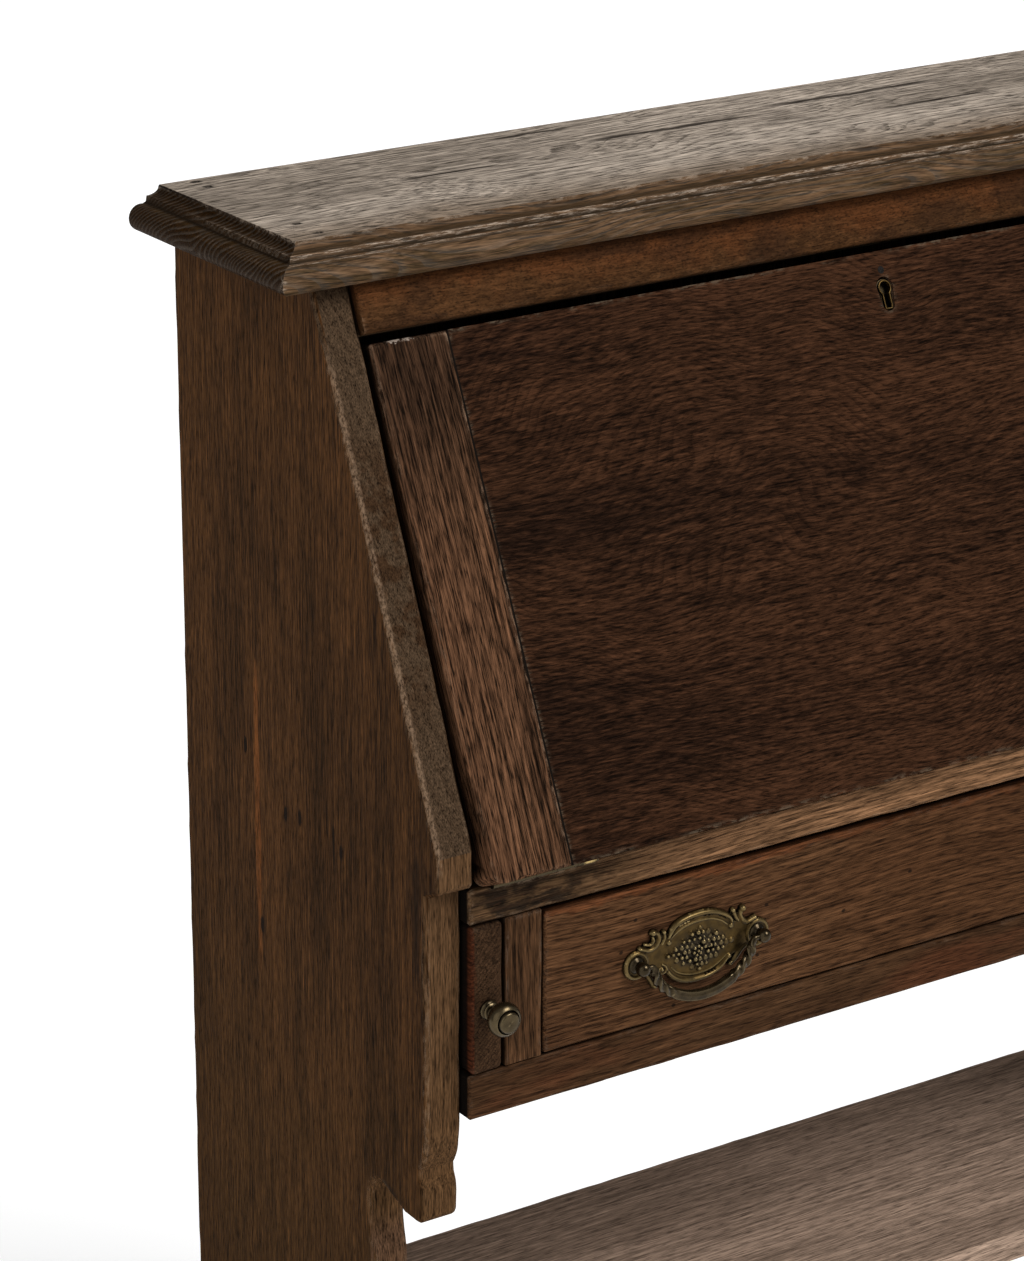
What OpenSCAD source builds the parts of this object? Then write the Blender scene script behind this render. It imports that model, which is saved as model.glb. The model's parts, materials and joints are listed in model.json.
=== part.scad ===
// Secretary desk: a narrow slant-front writing desk between two plank sides.
// The fall folds down onto two pull-out lopers, and one drawer runs between them.
// Axes: +X right, +Y back, +Z up, millimetres. The modules measure Y from the lower
// front edge of the sides; centred() then puts the origin on the floor, under the
// middle of the whole desk.

/* [Carcase] */
// Width over the two side planks
desk_w = 679; // [620:1:760]
// Depth from the lower front edge of the sides to the back
desk_d = 235.4; // [225:0.1:260]
// Height to the flat of the top board
desk_h = 1024; // [1000:1:1060]
// Height of the writing surface
writing_h = 716; // [700:1:730]
// Thickness of the side planks
side_t = 21.5; // [18:0.5:24]
// Thickness of the top board
top_t = 22.6; // [20:0.1:26]
// Overhang of the top board past each side
top_overhang = 25; // [20:1:30]
// Depth of the housings that hold the boards in the sides
housing = 6.5; // [4:0.5:10]
// Height of the open shelf
shelf_h = 378.2; // [300:0.1:420]
// Thickness of the open shelf
shelf_t = 18; // [14:1:22]

/* [Front] */
// How far the rails, stiles and drawer stand proud of the sides
front_proud = 6.9; // [4:0.1:8]
// Depth of the front rail and the bottom rail, back from the side's front edge
rail_d = 40; // [30:1:44]
// Height of the rail under the fall
front_rail_h = 20; // [18:0.5:22]
// Height of the rail under the drawer
bottom_rail_h = 24.7; // [20:0.1:30]
// Underside of the rail below the drawer, down from the writing surface
bottom_rail_drop = 126; // [120:1:140]
// Width of the stiles beside the drawer
stile_w = 22.2; // [18:0.1:26]
// Gap from a side plank to the stile, where a loper runs
loper_bay = 21.5; // [20:0.1:24]

/* [Fall] */
// Lean of the closed fall from the vertical
fall_lean = 24.65; // [22:0.05:27]
// Length of the fall up its slope
fall_len = 271; // [265:1:275]
// Thickness of the fall
fall_t = 20; // [18:0.5:21]
// Gap between the fall and each side
fall_gap = 3.5; // [2:0.5:5]
// Width of the clamped ends of the fall
fall_end_w = 45.5; // [40:0.5:50]
// Depth of the keyhole below the fall's top edge
keyhole_drop = 23; // [20:1:26]
// Throw of the lock bolt
bolt_throw = 10; // [8:1:11]

/* [Drawer] */
// Thickness of the drawer front
drawer_front_t = 19; // [16:0.5:22]
// Thickness of the drawer sides and back
drawer_side_t = 10; // [8:0.5:12]
// Thickness of the drawer bottom
drawer_bottom_t = 5; // [4:0.5:6]
// Dovetails at each drawer corner
tails = 3; // [2:1:4]

/* [Lopers and fittings] */
// Thickness of a loper
loper_w = 18.4; // [16:0.1:19]
// Length of a loper
loper_len = 223.4; // [215:0.1:224]
// Distance of each pull from the desk's middle
pull_x = 179.5; // [150:0.5:200]
// Distance between the two posts of a pull
pull_posts_w = 76.2; // [70:0.1:80]
// Depth of the pulls' posts below the writing surface
pull_drop = 65; // [60:1:66]
// Length of a hinge
hinge_len = 63; // [55:1:70]
// Projection of a loper's knob
knob_len = 20.5; // [18:0.5:24]

/* [Pigeonholes] */
// Height of the pigeonholes above the writing surface
pigeon_h = 200; // [160:1:220]
// Front of the pigeonholes
pigeon_y = 128; // [122:1:140]
// Thickness of the pigeonhole boards
pigeon_t = 8; // [6:0.5:10]

/* [Hidden] */
$fn = 48;

LEFT = -1;
RIGHT = 1;

// The desk's main planes
in_x = desk_w / 2 - side_t;
under_top = desk_h - top_t;
face_y = -front_proud;
rail_z = writing_h - front_rail_h;
bottom_z = writing_h - bottom_rail_drop;
bay_z = bottom_z + bottom_rail_h;
leg_y = 50.6;

// The slanted front edge of the sides
edge_top = [100.3, under_top];
edge_nose = [-11.5, writing_h + 22.5];
edge_lean = atan2(edge_top[0] - edge_nose[0], edge_top[1] - edge_nose[1]);

// The back panel and its rebate
back_t = 8;
back_y = desk_d - back_t;
rebate = 8;

// The shelf's tongues, in the lower part of its thickness and stopped at the front
shelf_tongue_y = [leg_y + 8, desk_d];
shelf_tongue_z = [shelf_h - shelf_t, shelf_h - 6];

// The boards inside
writing_t = 14;
runner_t = 18;
runner_in_x = in_x - 72.5;
back_rail_y = 200;
partition_t = 10;
partition_x = in_x - loper_bay;
stile_t = 20;
stile_in_x = partition_x - stile_w;
guide_h = 17;
tenon = 8;

// The loper, its knob and its peg
loper_face_y = face_y - 1.5;
loper_gap = 1.1;
loper_x = in_x - loper_gap - loper_w / 2;
loper_z = bay_z + 0.4;
loper_h = rail_z - 0.4 - loper_z;
knob_z = writing_h - 66;
knob_r = 9.1;
knob_stem_r = 1.8;
peg_r = 4;
peg_y = 195;
peg_up = 5;

// The whole desk runs from the knobs at the front to the back panel
mid_y = (loper_face_y - knob_len + desk_d) / 2;

// The fall turns about the front arris of the rail
pivot = [face_y - 0.3, writing_h + 0.3];
fall_x = in_x - fall_gap;
panel_x = fall_x - fall_end_w;
tongue = 8;

// The hinges
hinge_x = in_x - 13;
leaf_w = 20;
leaf_t = 1.6;
knuckle_r = 2.2;
pin_r = 1;
pin_gap = 0.05;
knuckles = 5;
knuckle_gap = 0.2;
knuckle_room = 0.3;
hinge_screws = 3;
screw_len = 11;
screw_head_r = 2.2;
screw_r = 1.1;

// The lock, measured in the fall
lock_w = 56;
lock_h = 49;
lock_d = 16;
lock_plate = [72, 57];
bolt_w = 24;
bolt_h = 31;
bolt_y = [-14.5, -9.5];
key_z = fall_len - keyhole_drop;

// The top rail, in the plane of the slanted edge
top_rail_t = 20;
top_rail_h = 24.4;
top_rail_proud = 4;
top_rail_foot = [edge_top[0] - top_rail_proud / cos(edge_lean) - top_rail_h * tan(edge_lean),
    under_top - top_rail_h];
top_rail_end = in_x - 0.5;
top_rail_len = top_rail_h / cos(edge_lean);
rail_nose_r = 2.5;
facing_t = 8;
strike_x = [-30, 30];
strike_y = [facing_t, 19];
strike_t = 1.2;
bolt_room = 4;

// The drawer
drawer_x = stile_in_x - 1;
drawer_z = bay_z + 0.5;
drawer_h = 77.9;
drawer_back_y = 218;
drawer_side_x = drawer_x - 0.5;
drawer_side_z = [drawer_z + 1.8, drawer_z + 72.8];
groove = 4;
bottom_board_z = drawer_z + 6.3;
tail_len = 13;

// The pulls: a ball at the end of each post holds the bail's pins
pull_z = writing_h - pull_drop;
plate_t = 1.5;
ball_r = 3.9;
ball_y = face_y - 7.5;
bail_pin_r = 1.5;
bail_end_x = 31;
bail_end_r = 18;
bail_low_r = 37.4;
bail_depth = 23;
wire_r = 2.5;
wire_low_r = 3.1;
post_r = 2.2;

// Colours
oak = "#4a3220";
oak_top = "#6b5b4b";
oak_rail = "#6b4429";
oak_dark = "#33231a";
oak_inside = "#5a4330";
old_brass = "#7a6a35";
iron = "#2b2623";

// Moves the desk so that the origin is under its middle
module centred() translate([0, -mid_y, 0]) children();

// Draws its children for the left hand, and mirrors them for the right
module hand(s) {
    if (s == LEFT) children();
    else mirror([1, 0, 0]) children();
}

// Draws its children in the closed fall: Y out of its inner face, Z up the slope
module in_fall() translate([0, pivot[0], pivot[1]]) rotate([-fall_lean, 0, 0]) children();

// Draws its children in the top rail: Y back from its front face, Z up the slope
module in_top_rail() translate([0, top_rail_foot[0], top_rail_foot[1]])
    rotate([-edge_lean, 0, 0]) children();

// A box given by its range on each axis
module block(x, y, z) translate([x[0], y[0], z[0]])
    cube([x[1] - x[0], y[1] - y[0], z[1] - z[0]]);

// Extrudes an outline of (Y, Z) points from x0 along +X
module slab(x0, w) translate([x0, 0, 0]) rotate([90, 0, 90]) linear_extrude(w) children();

// Points along an elliptical arc
function arc(c, r, a0, a1, n = 12) =
    [for (i = [0:n]) let (a = a0 + (a1 - a0) * i / n) [c[0] + r[0] * cos(a), c[1] + r[1] * sin(a)]];

// Points along a smooth S from one point to another, starting and ending upright
function ogee(p, q, n = 12) =
    [for (i = [0:n]) let (t = i / n) [p[0] + (q[0] - p[0]) * (1 - cos(180 * t)) / 2, p[1] + (q[1] - p[1]) * t]];

// ---- Sides ----

scroll_z = writing_h - 170;
arch_top = [45, scroll_z - 19];
foot_h = 45;
foot_arch = 35;

// The side's outline: slanted edge, nose, scroll with its crease and the small arch behind it,
// leg and two feet
side_outline = concat(
    [[desk_d, under_top], edge_top, edge_nose],
    [[edge_nose[0], writing_h + 4], [0, writing_h - 2]],
    arc([13, scroll_z + 42], [13, 30], 180, 240, 8),
    arc([12, scroll_z + 1], [8.4, 15], 135, 180, 6),
    arc([10, scroll_z - 8], [6, 6], 190, 270, 8),
    [[20, scroll_z - 14]],
    arc(arch_top, [16, 14], 130, 90, 6),
    arc(arch_top, [9.3, 14], 85, -15, 10),
    ogee([leg_y + 3.5, scroll_z - 28], [leg_y, scroll_z - 61]),
    ogee([leg_y, 150], [0, foot_h]),
    [[0, 0], [62, 0]],
    arc([118, 0], [48, foot_arch], 180, 0, 20),
    [[174, 0], [desk_d, 0]]);

module side_blank() slab(-desk_w / 2, side_t) polygon(side_outline);

// The housings and mortises in the left side's inner face
module side_joints() {
    cut_x = [-in_x - housing, -in_x + 1];
    tenon_x = [-in_x - tenon, -in_x + 1];
    block([-in_x - rebate, -in_x + 1], [back_y, desk_d + 1], [bottom_z, under_top + 1]);
    block(cut_x, [rail_d, back_y + 1], [writing_h - writing_t, writing_h]);
    block(cut_x, shelf_tongue_y + [0, 1], shelf_tongue_z);
    block(cut_x, [rail_d, back_rail_y], [bay_z - runner_t, bay_z]);
    block(tenon_x, tenon_y, tenon_z(rail_z, front_rail_h));
    block(tenon_x, tenon_y, tenon_z(bottom_z, bottom_rail_h));
}

module side(s) {
    color(oak) centred() hand(s) difference() {
        side_blank();
        side_joints();
        nails();
    }
}

// ---- Top ----

top_nose_r = 7;
top_mould_w = 18.5;
top_fascia = 1.2;
top_cove = [7, 3.8];
top_fillet_x = 8;
top_groove_z = 7.9;
top_flat_x = desk_w / 2 + top_overhang - top_mould_w;
top_flat_y = 102.3;

// The moulding from the flat outward: a narrow fascia, a cove, a fillet and a round nose
top_profile = concat(
    [[top_fillet_x - top_cove[0], 0]],
    arc([top_fillet_x, -top_fascia], top_cove, 180, 270, 8),
    [[top_fillet_x + 0.5, -top_groove_z]],
    arc([top_mould_w - top_nose_r, -15.6], [top_nose_r, top_nose_r], 100, -90, 16));

nail_size = [4.2, 1.8];
nail_sink = 2.5;
nail_len = 48;
nail_x = in_x + side_t / 2;
nail_rows = [110, 130, 217, 229];

// Cut nails through the top into the sides; up is how far each reaches above its head
module nails(up = 0) {
    for (s = [LEFT, RIGHT], y = nail_rows)
        translate([s * nail_x - nail_size[0] / 2, y - nail_size[1] / 2, desk_h - nail_len])
            cube([nail_size[0], nail_size[1], nail_len - nail_sink + up]);
}

module top_board() {
    color(oak_top) centred() difference() {
        intersection() {
            slab(-desk_w, 2 * desk_w) translate([top_flat_y, desk_h])
                polygon(concat([for (p = top_profile) [-p[0], p[1]]],
                    [[desk_d - top_flat_y, -top_t], [desk_d - top_flat_y, 0]]));
            translate([0, desk_d, desk_h]) rotate([90, 0, 0]) linear_extrude(desk_d)
                polygon(concat([for (p = top_profile) [top_flat_x + p[0], p[1]]],
                    [for (i = [len(top_profile) - 1:-1:0])
                        [-top_flat_x - top_profile[i][0], top_profile[i][1]]]));
        }
        nails(nail_sink + 1);
    }
}

module top_nails() color(iron) centred() nails();

// The top rail's outline between two depths, drawn up to the underside of the top board
module top_rail_slab(x0, w, front, back) in_top_rail() slab(x0, w)
    polygon(concat(front, [[back, 0], [back, top_rail_len + back * tan(edge_lean)],
        [front[0][0], top_rail_len + front[0][0] * tan(edge_lean)]]));

// The strip from the top board down to the fall, proud of the slanted edge
module top_rail() {
    color(oak_rail) centred()
        top_rail_slab(-top_rail_end, 2 * top_rail_end, arc([rail_nose_r, rail_nose_r],
            [rail_nose_r, rail_nose_r], 180, 270, 6), facing_t);
}

// The two blocks behind the strip; the lock bolt rises between them
module rail_block(s) {
    color(oak_inside) centred() hand(s) difference() {
        top_rail_slab(-top_rail_end, top_rail_end - bolt_w / 2 - 1, [[facing_t, 0]], top_rail_t);
        strike_recess();
    }
}

module strike_recess() in_top_rail() block(strike_x, strike_y, [-1, strike_t]);

module bolt_mortise() in_fall()
    block([-bolt_w / 2 - 1, bolt_w / 2 + 1], bolt_y + [-0.8, 0.8],
        [fall_len, fall_len + bolt_throw + bolt_room]);

module strike_plate() {
    color(old_brass) centred() difference() {
        in_top_rail() block(strike_x, strike_y, [0, strike_t]);
        bolt_mortise();
    }
}

// ---- Rails, stiles and the boards inside ----

tenon_y = [4, 32];
function tenon_z(z, h) = [z + h * 0.2, z + h * 0.8];

module rail(z, h) {
    block([-in_x, in_x], [face_y, rail_d], [z, z + h]);
    for (s = [LEFT, RIGHT])
        hand(s) block([-in_x - tenon, -in_x + 1], tenon_y, tenon_z(z, h));
}

module front_rail() {
    color(oak_rail) centred() difference() {
        rail(rail_z, front_rail_h);
        for (s = [LEFT, RIGHT])
            hand(s) {
                block(hinge_range, [face_y - 1, pivot[0] + leaf_w], [writing_h - leaf_t, writing_h + 1]);
                knuckle_clearance();
                rail_screws();
            }
    }
}

module bottom_rail() color(oak_rail) centred() rail(bottom_z, bottom_rail_h);

module stile(s) {
    color(oak) centred() hand(s)
        block([-partition_x, -stile_in_x], [face_y, face_y + stile_t], [bay_z, rail_z]);
}

module writing_board() {
    color(oak_inside) centred()
        block([-in_x - housing, in_x + housing], [rail_d, back_y], [writing_h - writing_t, writing_h]);
}

module back_panel() {
    color(oak_dark) centred()
        block([-in_x - rebate, in_x + rebate], [back_y, desk_d], [bottom_z, under_top]);
}

module partition(s) {
    color(oak_inside) centred() hand(s) difference() {
        block([-partition_x, -partition_x + partition_t], [face_y + stile_t, back_y],
            [bay_z, writing_h - writing_t]);
        block([-partition_x - 1, -partition_x + partition_t + 1], [face_y, rail_d],
            [rail_z, writing_h]);
    }
}

module drawer_guide(s) {
    color(oak_inside) centred() hand(s)
        block([-partition_x + partition_t, -drawer_x - 0.5], [face_y + stile_t, back_y - 12],
            [bay_z, bay_z + guide_h]);
}

module runner(s) {
    color(oak_inside) centred() hand(s)
        block([-in_x - housing, -runner_in_x], [rail_d, back_rail_y], [bay_z - runner_t, bay_z]);
}

module bottom_back_rail() {
    color(oak_inside) centred()
        block([-in_x, in_x], [back_rail_y, back_y], [bottom_z, bay_z]);
}

// The strip on each side that the closed fall rests against
module fall_stop(s) {
    color(oak_inside) centred() hand(s) in_fall()
        block([-in_x, -in_x + 10], [0.4, 12], [34, fall_len - 16]);
}

module under_shelf() {
    color(oak_top) centred() {
        block([-in_x, in_x], [leg_y, desk_d], [shelf_h - shelf_t, shelf_h]);
        for (s = [LEFT, RIGHT])
            hand(s) block([-in_x - housing, -in_x + 1], shelf_tongue_y, shelf_tongue_z);
    }
}

// ---- Pigeonholes ----

pigeon_bays = 5;
pigeon_top = writing_h + pigeon_h;
pigeon_pitch = (2 * in_x + pigeon_t) / pigeon_bays;
pigeon_shelf_z = writing_h + 104;

module pigeonhole_top() {
    color(oak_inside) centred()
        block([-in_x, in_x], [pigeon_y, back_y], [pigeon_top - pigeon_t, pigeon_top]);
}

// Four upright boards, hollowed at the front for the hand
module pigeonhole_dividers() {
    color(oak_inside) centred()
        for (i = [1:pigeon_bays - 1])
            slab(-in_x + i * pigeon_pitch - pigeon_t, pigeon_t)
                polygon(concat([[back_y, writing_h], [back_y, pigeon_top - pigeon_t],
                    [pigeon_y + 2, pigeon_top - pigeon_t]],
                    arc([pigeon_y + 2, writing_h + 106], [18, 70], 90, -90, 16),
                    [[pigeon_y + 2, writing_h]]));
}

// The shelf that halves the middle pigeonhole
module pigeonhole_shelf() {
    half = pigeon_pitch / 2 - pigeon_t / 2 - pigeon_t / 2;
    color(oak_inside) centred()
        block([-half, half], [pigeon_y + 22, back_y], [pigeon_shelf_z, pigeon_shelf_z + pigeon_t]);
}

// ---- Hinges ----

hinge_range = [-hinge_x, -hinge_x + hinge_len];
knuckle_pitch = hinge_len / knuckles;

// A cylinder about the fall's pivot line, along X
module on_pivot(x, r) translate([x[0], pivot[0], pivot[1]]) rotate([0, 90, 0])
    cylinder(h = x[1] - x[0], r = r);

module knuckle_clearance()
    on_pivot(hinge_range + [-knuckle_room, knuckle_room], knuckle_r + knuckle_room);

// The left hinge's knuckles, every other one from the first
module knuckle_set(first) {
    for (i = [first:2:knuckles - 1])
        on_pivot([-hinge_x + i * knuckle_pitch, -hinge_x + (i + 1) * knuckle_pitch - knuckle_gap], knuckle_r);
}

// The strips that join a leaf to its own knuckles
module knuckle_webs(first, y, z) {
    for (i = [first:2:knuckles - 1])
        block([-hinge_x + i * knuckle_pitch, -hinge_x + (i + 1) * knuckle_pitch - knuckle_gap], y, z);
}

// A countersunk wood screw, its head's top at the origin and its point down
module screw() {
    translate([0, 0, -leaf_t]) cylinder(h = leaf_t, r1 = screw_r, r2 = screw_head_r);
    translate([0, 0, -screw_len]) cylinder(h = screw_len - leaf_t + 0.1, r = screw_r);
}

module screw_row() {
    for (i = [0:hinge_screws - 1])
        translate([-hinge_x + hinge_len * (i + 0.5) / hinge_screws, 0, 0]) children();
}

module rail_screws() screw_row() translate([0, pivot[0] + leaf_w * 0.6, writing_h]) screw();

module fall_screws() in_fall() screw_row() translate([0, 0, leaf_w * 0.6]) rotate([-90, 0, 0]) screw();

module rail_hinge_leaf(s) {
    z = [writing_h - leaf_t, writing_h];
    color(old_brass) centred() hand(s) difference() {
        union() {
            difference() {
                block(hinge_range, [pivot[0], pivot[0] + leaf_w], z);
                knuckle_clearance();
            }
            knuckle_set(0);
            knuckle_webs(0, [pivot[0], pivot[0] + knuckle_r + 2], z);
        }
        on_pivot(hinge_range + [-1, 1], pin_r + pin_gap);
        rail_screws();
    }
}

module fall_hinge_leaf(s) {
    y = [-leaf_t, 0];
    color(old_brass) centred() hand(s) difference() {
        union() {
            difference() {
                in_fall() block(hinge_range, y, [0, leaf_w]);
                knuckle_clearance();
            }
            knuckle_set(1);
            in_fall() knuckle_webs(1, y, [0, knuckle_r + 2]);
        }
        on_pivot(hinge_range + [-1, 1], pin_r + pin_gap);
        fall_screws();
    }
}

module hinge_pin(s) color(old_brass) centred() hand(s) on_pivot(hinge_range, pin_r);

module rail_hinge_screws() color(old_brass) centred()
    for (s = [LEFT, RIGHT]) hand(s) rail_screws();

module fall_hinge_screws() color(old_brass) centred()
    for (s = [LEFT, RIGHT]) hand(s) fall_screws();

// ---- Fall ----

// What both hinges take out of the fall
module fall_hinge_gains() {
    for (s = [LEFT, RIGHT])
        hand(s) {
            in_fall() block(hinge_range, [-leaf_t, 1], [-1, leaf_w]);
            knuckle_clearance();
            fall_screws();
        }
}

// What the lock takes out of the fall
module lock_mortise() in_fall() {
    block([-lock_w / 2, lock_w / 2], [-lock_d, 1], [fall_len - lock_h, fall_len + 1]);
    block([-lock_plate[0] / 2, lock_plate[0] / 2], [-leaf_t, 1], [fall_len - lock_plate[1], fall_len + 1]);
}

module fall_tongue(gap = 0) in_fall()
    block([-panel_x - tongue, panel_x + tongue], [-14, -6], [8 - gap, fall_len - 8 + gap]);

module fall_panel() {
    color(oak_dark) centred() difference() {
        union() {
            in_fall() block([-panel_x, panel_x], [-fall_t, 0], [0, fall_len]);
            fall_tongue();
        }
        fall_hinge_gains();
        lock_mortise();
        lock_screws_solid();
        in_fall() translate([0, -fall_t - 1, key_z]) rotate([-90, 0, 0]) {
            linear_extrude(liner_t + 1) liner_outline();
            linear_extrude(fall_t) keyhole();
        }
    }
}

module fall_end(s) {
    color(oak_dark) centred() difference() {
        hand(s) in_fall() block([-fall_x, -panel_x], [-fall_t, 0], [0, fall_len]);
        fall_tongue();
        fall_hinge_gains();
    }
}

// ---- Lock ----

liner_t = 3.5;
liner_r = 5.4;
liner_foot_r = 4;
liner_top = 3.8;
liner_foot = -5.2;
key_r = 3.6;
key_slot = 3.6;

// The brass liner around the keyhole, its foot towards -Y of the outline
module liner_outline() {
    translate([0, -liner_top]) circle(liner_r);
    translate([0, -liner_foot]) circle(liner_foot_r);
    polygon([[-liner_r, -liner_top], [liner_r, -liner_top],
        [liner_foot_r, -liner_foot], [-liner_foot_r, -liner_foot]]);
}

module keyhole() {
    translate([0, -liner_top]) circle(key_r);
    translate([0, -liner_foot]) circle(key_slot / 2);
    translate([-key_slot / 2, -liner_top]) square([key_slot, liner_top - liner_foot]);
}

module escutcheon() {
    color(old_brass) centred() in_fall() translate([0, -fall_t, key_z]) rotate([-90, 0, 0])
        linear_extrude(liner_t) difference() {
            liner_outline();
            keyhole();
        }
}

lock_screw_x = lock_plate[0] / 2 - 4;
lock_screw_z = [fall_len - 6, fall_len - lock_plate[1] + 6];

module lock_screws_solid() in_fall()
    for (x = [-lock_screw_x, lock_screw_x], z = lock_screw_z)
        translate([x, 0, z]) rotate([-90, 0, 0]) screw();

module lock_screws() color(old_brass) centred() lock_screws_solid();

module lock_case() {
    color(old_brass) centred() difference() {
        lock_solid();
        in_fall() block([-bolt_w / 2 - 0.1, bolt_w / 2 + 0.1], bolt_y + [-0.1, 0.1],
            [fall_len - bolt_h - 0.5, fall_len + 1]);
        lock_screws_solid();
    }
}

module lock_solid() in_fall() {
    block([-lock_w / 2, lock_w / 2], [-lock_d, 0], [fall_len - lock_h, fall_len]);
    block([-lock_plate[0] / 2, lock_plate[0] / 2], [-leaf_t, 0], [fall_len - lock_plate[1], fall_len]);
}

module lock_bolt() {
    color(old_brass) centred() in_fall()
        block([-bolt_w / 2, bolt_w / 2], bolt_y, [fall_len - bolt_h, fall_len]);
}

// ---- Drawer ----

drawer_rear = [drawer_back_y - drawer_side_t, drawer_back_y];
drawer_front_y = [face_y, face_y + drawer_front_t];
tail_pitch = (drawer_side_z[1] - drawer_side_z[0]) / tails;

// One row of tails from y over a length towards -Y, in the side's (Y, Z) plane
module tail_row(y, length) {
    root = tail_pitch * 0.26;
    tip = tail_pitch * 0.34;
    for (i = [0:tails - 1])
        slab(-drawer_side_x, drawer_side_t) translate([y, drawer_side_z[0] + (i + 0.5) * tail_pitch])
            polygon([[1, -root], [0, -root], [-length, -tip], [-length, tip], [0, root], [1, root]]);
}

// The left drawer side with its tails at both ends
module drawer_side_solid() {
    block([-drawer_side_x, -drawer_side_x + drawer_side_t], [drawer_front_y[1], drawer_rear[0]],
        drawer_side_z);
    tail_row(drawer_front_y[1], tail_len);
    mirror([0, 1, 0]) tail_row(-drawer_rear[0], drawer_side_t);
}

module drawer_bottom_solid() {
    x = drawer_side_x - drawer_side_t + groove;
    block([-x, x], [drawer_front_y[1] - groove, drawer_back_y],
        [bottom_board_z, bottom_board_z + drawer_bottom_t]);
}

module drawer_side(s) {
    color(oak_inside) centred() difference() {
        hand(s) drawer_side_solid();
        drawer_bottom_solid();
    }
}

module drawer_front() {
    color(oak) centred() difference() {
        block([-drawer_x, drawer_x], drawer_front_y, [drawer_z, drawer_z + drawer_h]);
        for (s = [LEFT, RIGHT]) hand(s) drawer_side_solid();
        drawer_bottom_solid();
        for (s = [LEFT, RIGHT], t = [LEFT, RIGHT]) on_post(s, t) post_shank();
    }
}

module drawer_back() {
    color(oak_inside) centred() difference() {
        block([-drawer_side_x, drawer_side_x], drawer_rear,
            [bottom_board_z + drawer_bottom_t, drawer_side_z[1]]);
        for (s = [LEFT, RIGHT]) hand(s) drawer_side_solid();
    }
}

module drawer_bottom() color(oak_inside) centred() drawer_bottom_solid();

// ---- Pulls ----

// Draws its children at one post of one pull, Z out of the drawer front
module on_post(s, t) translate([s * pull_x + t * pull_posts_w / 2, face_y, pull_z])
    rotate([90, 0, 0]) children();

nut_h = 3;
collar_r = 4.6;
eye_r = 8;
curl_r = 5;
plate_bar_h = 7;

module post_shank() translate([0, 0, -drawer_front_t - nut_h - 1])
    cylinder(h = drawer_front_t + nut_h + 1.5, r = post_r);

// A sheet with an oval middle, four curls and a round eye at each post
module pull_plate(s) {
    color(old_brass) centred() difference() {
        translate([s * pull_x, face_y, pull_z]) rotate([90, 0, 0]) {
            linear_extrude(plate_t) polygon(arc([0, 0], [27, 19.5], 0, 350, 35));
            translate([-pull_posts_w / 2, -plate_bar_h / 2, 0])
                cube([pull_posts_w, plate_bar_h, plate_t]);
            for (t = [LEFT, RIGHT]) {
                translate([t * pull_posts_w / 2, 0, 0]) cylinder(h = plate_t, r = eye_r);
                for (p = [[22, 13], [28, 14.5], [21, -12.5], [27, -13.5]])
                    translate([t * p[0], p[1], 0]) cylinder(h = plate_t, r = curl_r);
            }
        }
        for (t = [LEFT, RIGHT])
            on_post(s, t) translate([0, 0, -1]) cylinder(h = plate_t + 2, r = post_r);
    }
}

module pull_posts(s) {
    color(old_brass) centred() for (t = [LEFT, RIGHT]) on_post(s, t) difference() {
        union() {
            post_shank();
            translate([0, 0, plate_t]) cylinder(h = 1, r = collar_r);
            cylinder(h = face_y - ball_y, r = post_r);
            translate([0, 0, face_y - ball_y]) sphere(ball_r);
        }
        translate([-ball_r - 1, 0, face_y - ball_y]) rotate([0, 90, 0])
            cylinder(h = 2 * ball_r + 2, r = bail_pin_r + pin_gap);
    }
}

module pull_nuts() {
    color(old_brass) centred() for (s = [LEFT, RIGHT], t = [LEFT, RIGHT]) on_post(s, t)
        translate([0, 0, -drawer_front_t - nut_h]) difference() {
            cylinder(h = nut_h, r = 5, $fn = 6);
            translate([0, 0, -1]) cylinder(h = nut_h + 2, r = post_r);
        }
}

// The bail: a pin at each end, two tight arcs and one wide arc, hanging down
module bail(s) {
    low_y = bail_low_r - bail_depth;
    bend = atan2(bail_end_x - bail_end_r, low_y);
    pin_end = pull_posts_w / 2 + ball_r - 0.5;
    color(old_brass) centred() translate([s * pull_x, ball_y, pull_z]) rotate([90, 0, 0]) {
        translate([0, low_y, 0]) rotate([0, 0, -90 - bend]) rotate_extrude(angle = 2 * bend)
            translate([bail_low_r, 0]) circle(wire_low_r);
        for (t = [LEFT, RIGHT]) hand(t) {
            translate([-bail_end_x + bail_end_r, 0, 0]) rotate([0, 0, 180])
                rotate_extrude(angle = 94 - bend) translate([bail_end_r, 0]) circle(wire_r);
            translate([-bail_end_x, 0, 0]) sphere(wire_r + 0.4);
            translate([-pin_end, 0, 0]) rotate([0, 90, 0]) cylinder(h = pin_end - bail_end_x, r = bail_pin_r);
        }
    }
}

// ---- Lopers ----

module knob_stem() translate([0, 0, -14]) cylinder(h = 14.5, r = knob_stem_r);

module on_knob() translate([-loper_x, loper_face_y, knob_z]) rotate([90, 0, 0]) children();

module peg() translate([-loper_x, peg_y, loper_z + loper_h - 20]) cylinder(h = 20 + peg_up, r = peg_r);

module loper(s) {
    color(oak_rail) centred() hand(s) difference() {
        block([-loper_x - loper_w / 2, -loper_x + loper_w / 2], [loper_face_y, loper_face_y + loper_len],
            [loper_z, loper_z + loper_h]);
        on_knob() knob_stem();
        peg();
    }
}

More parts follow.
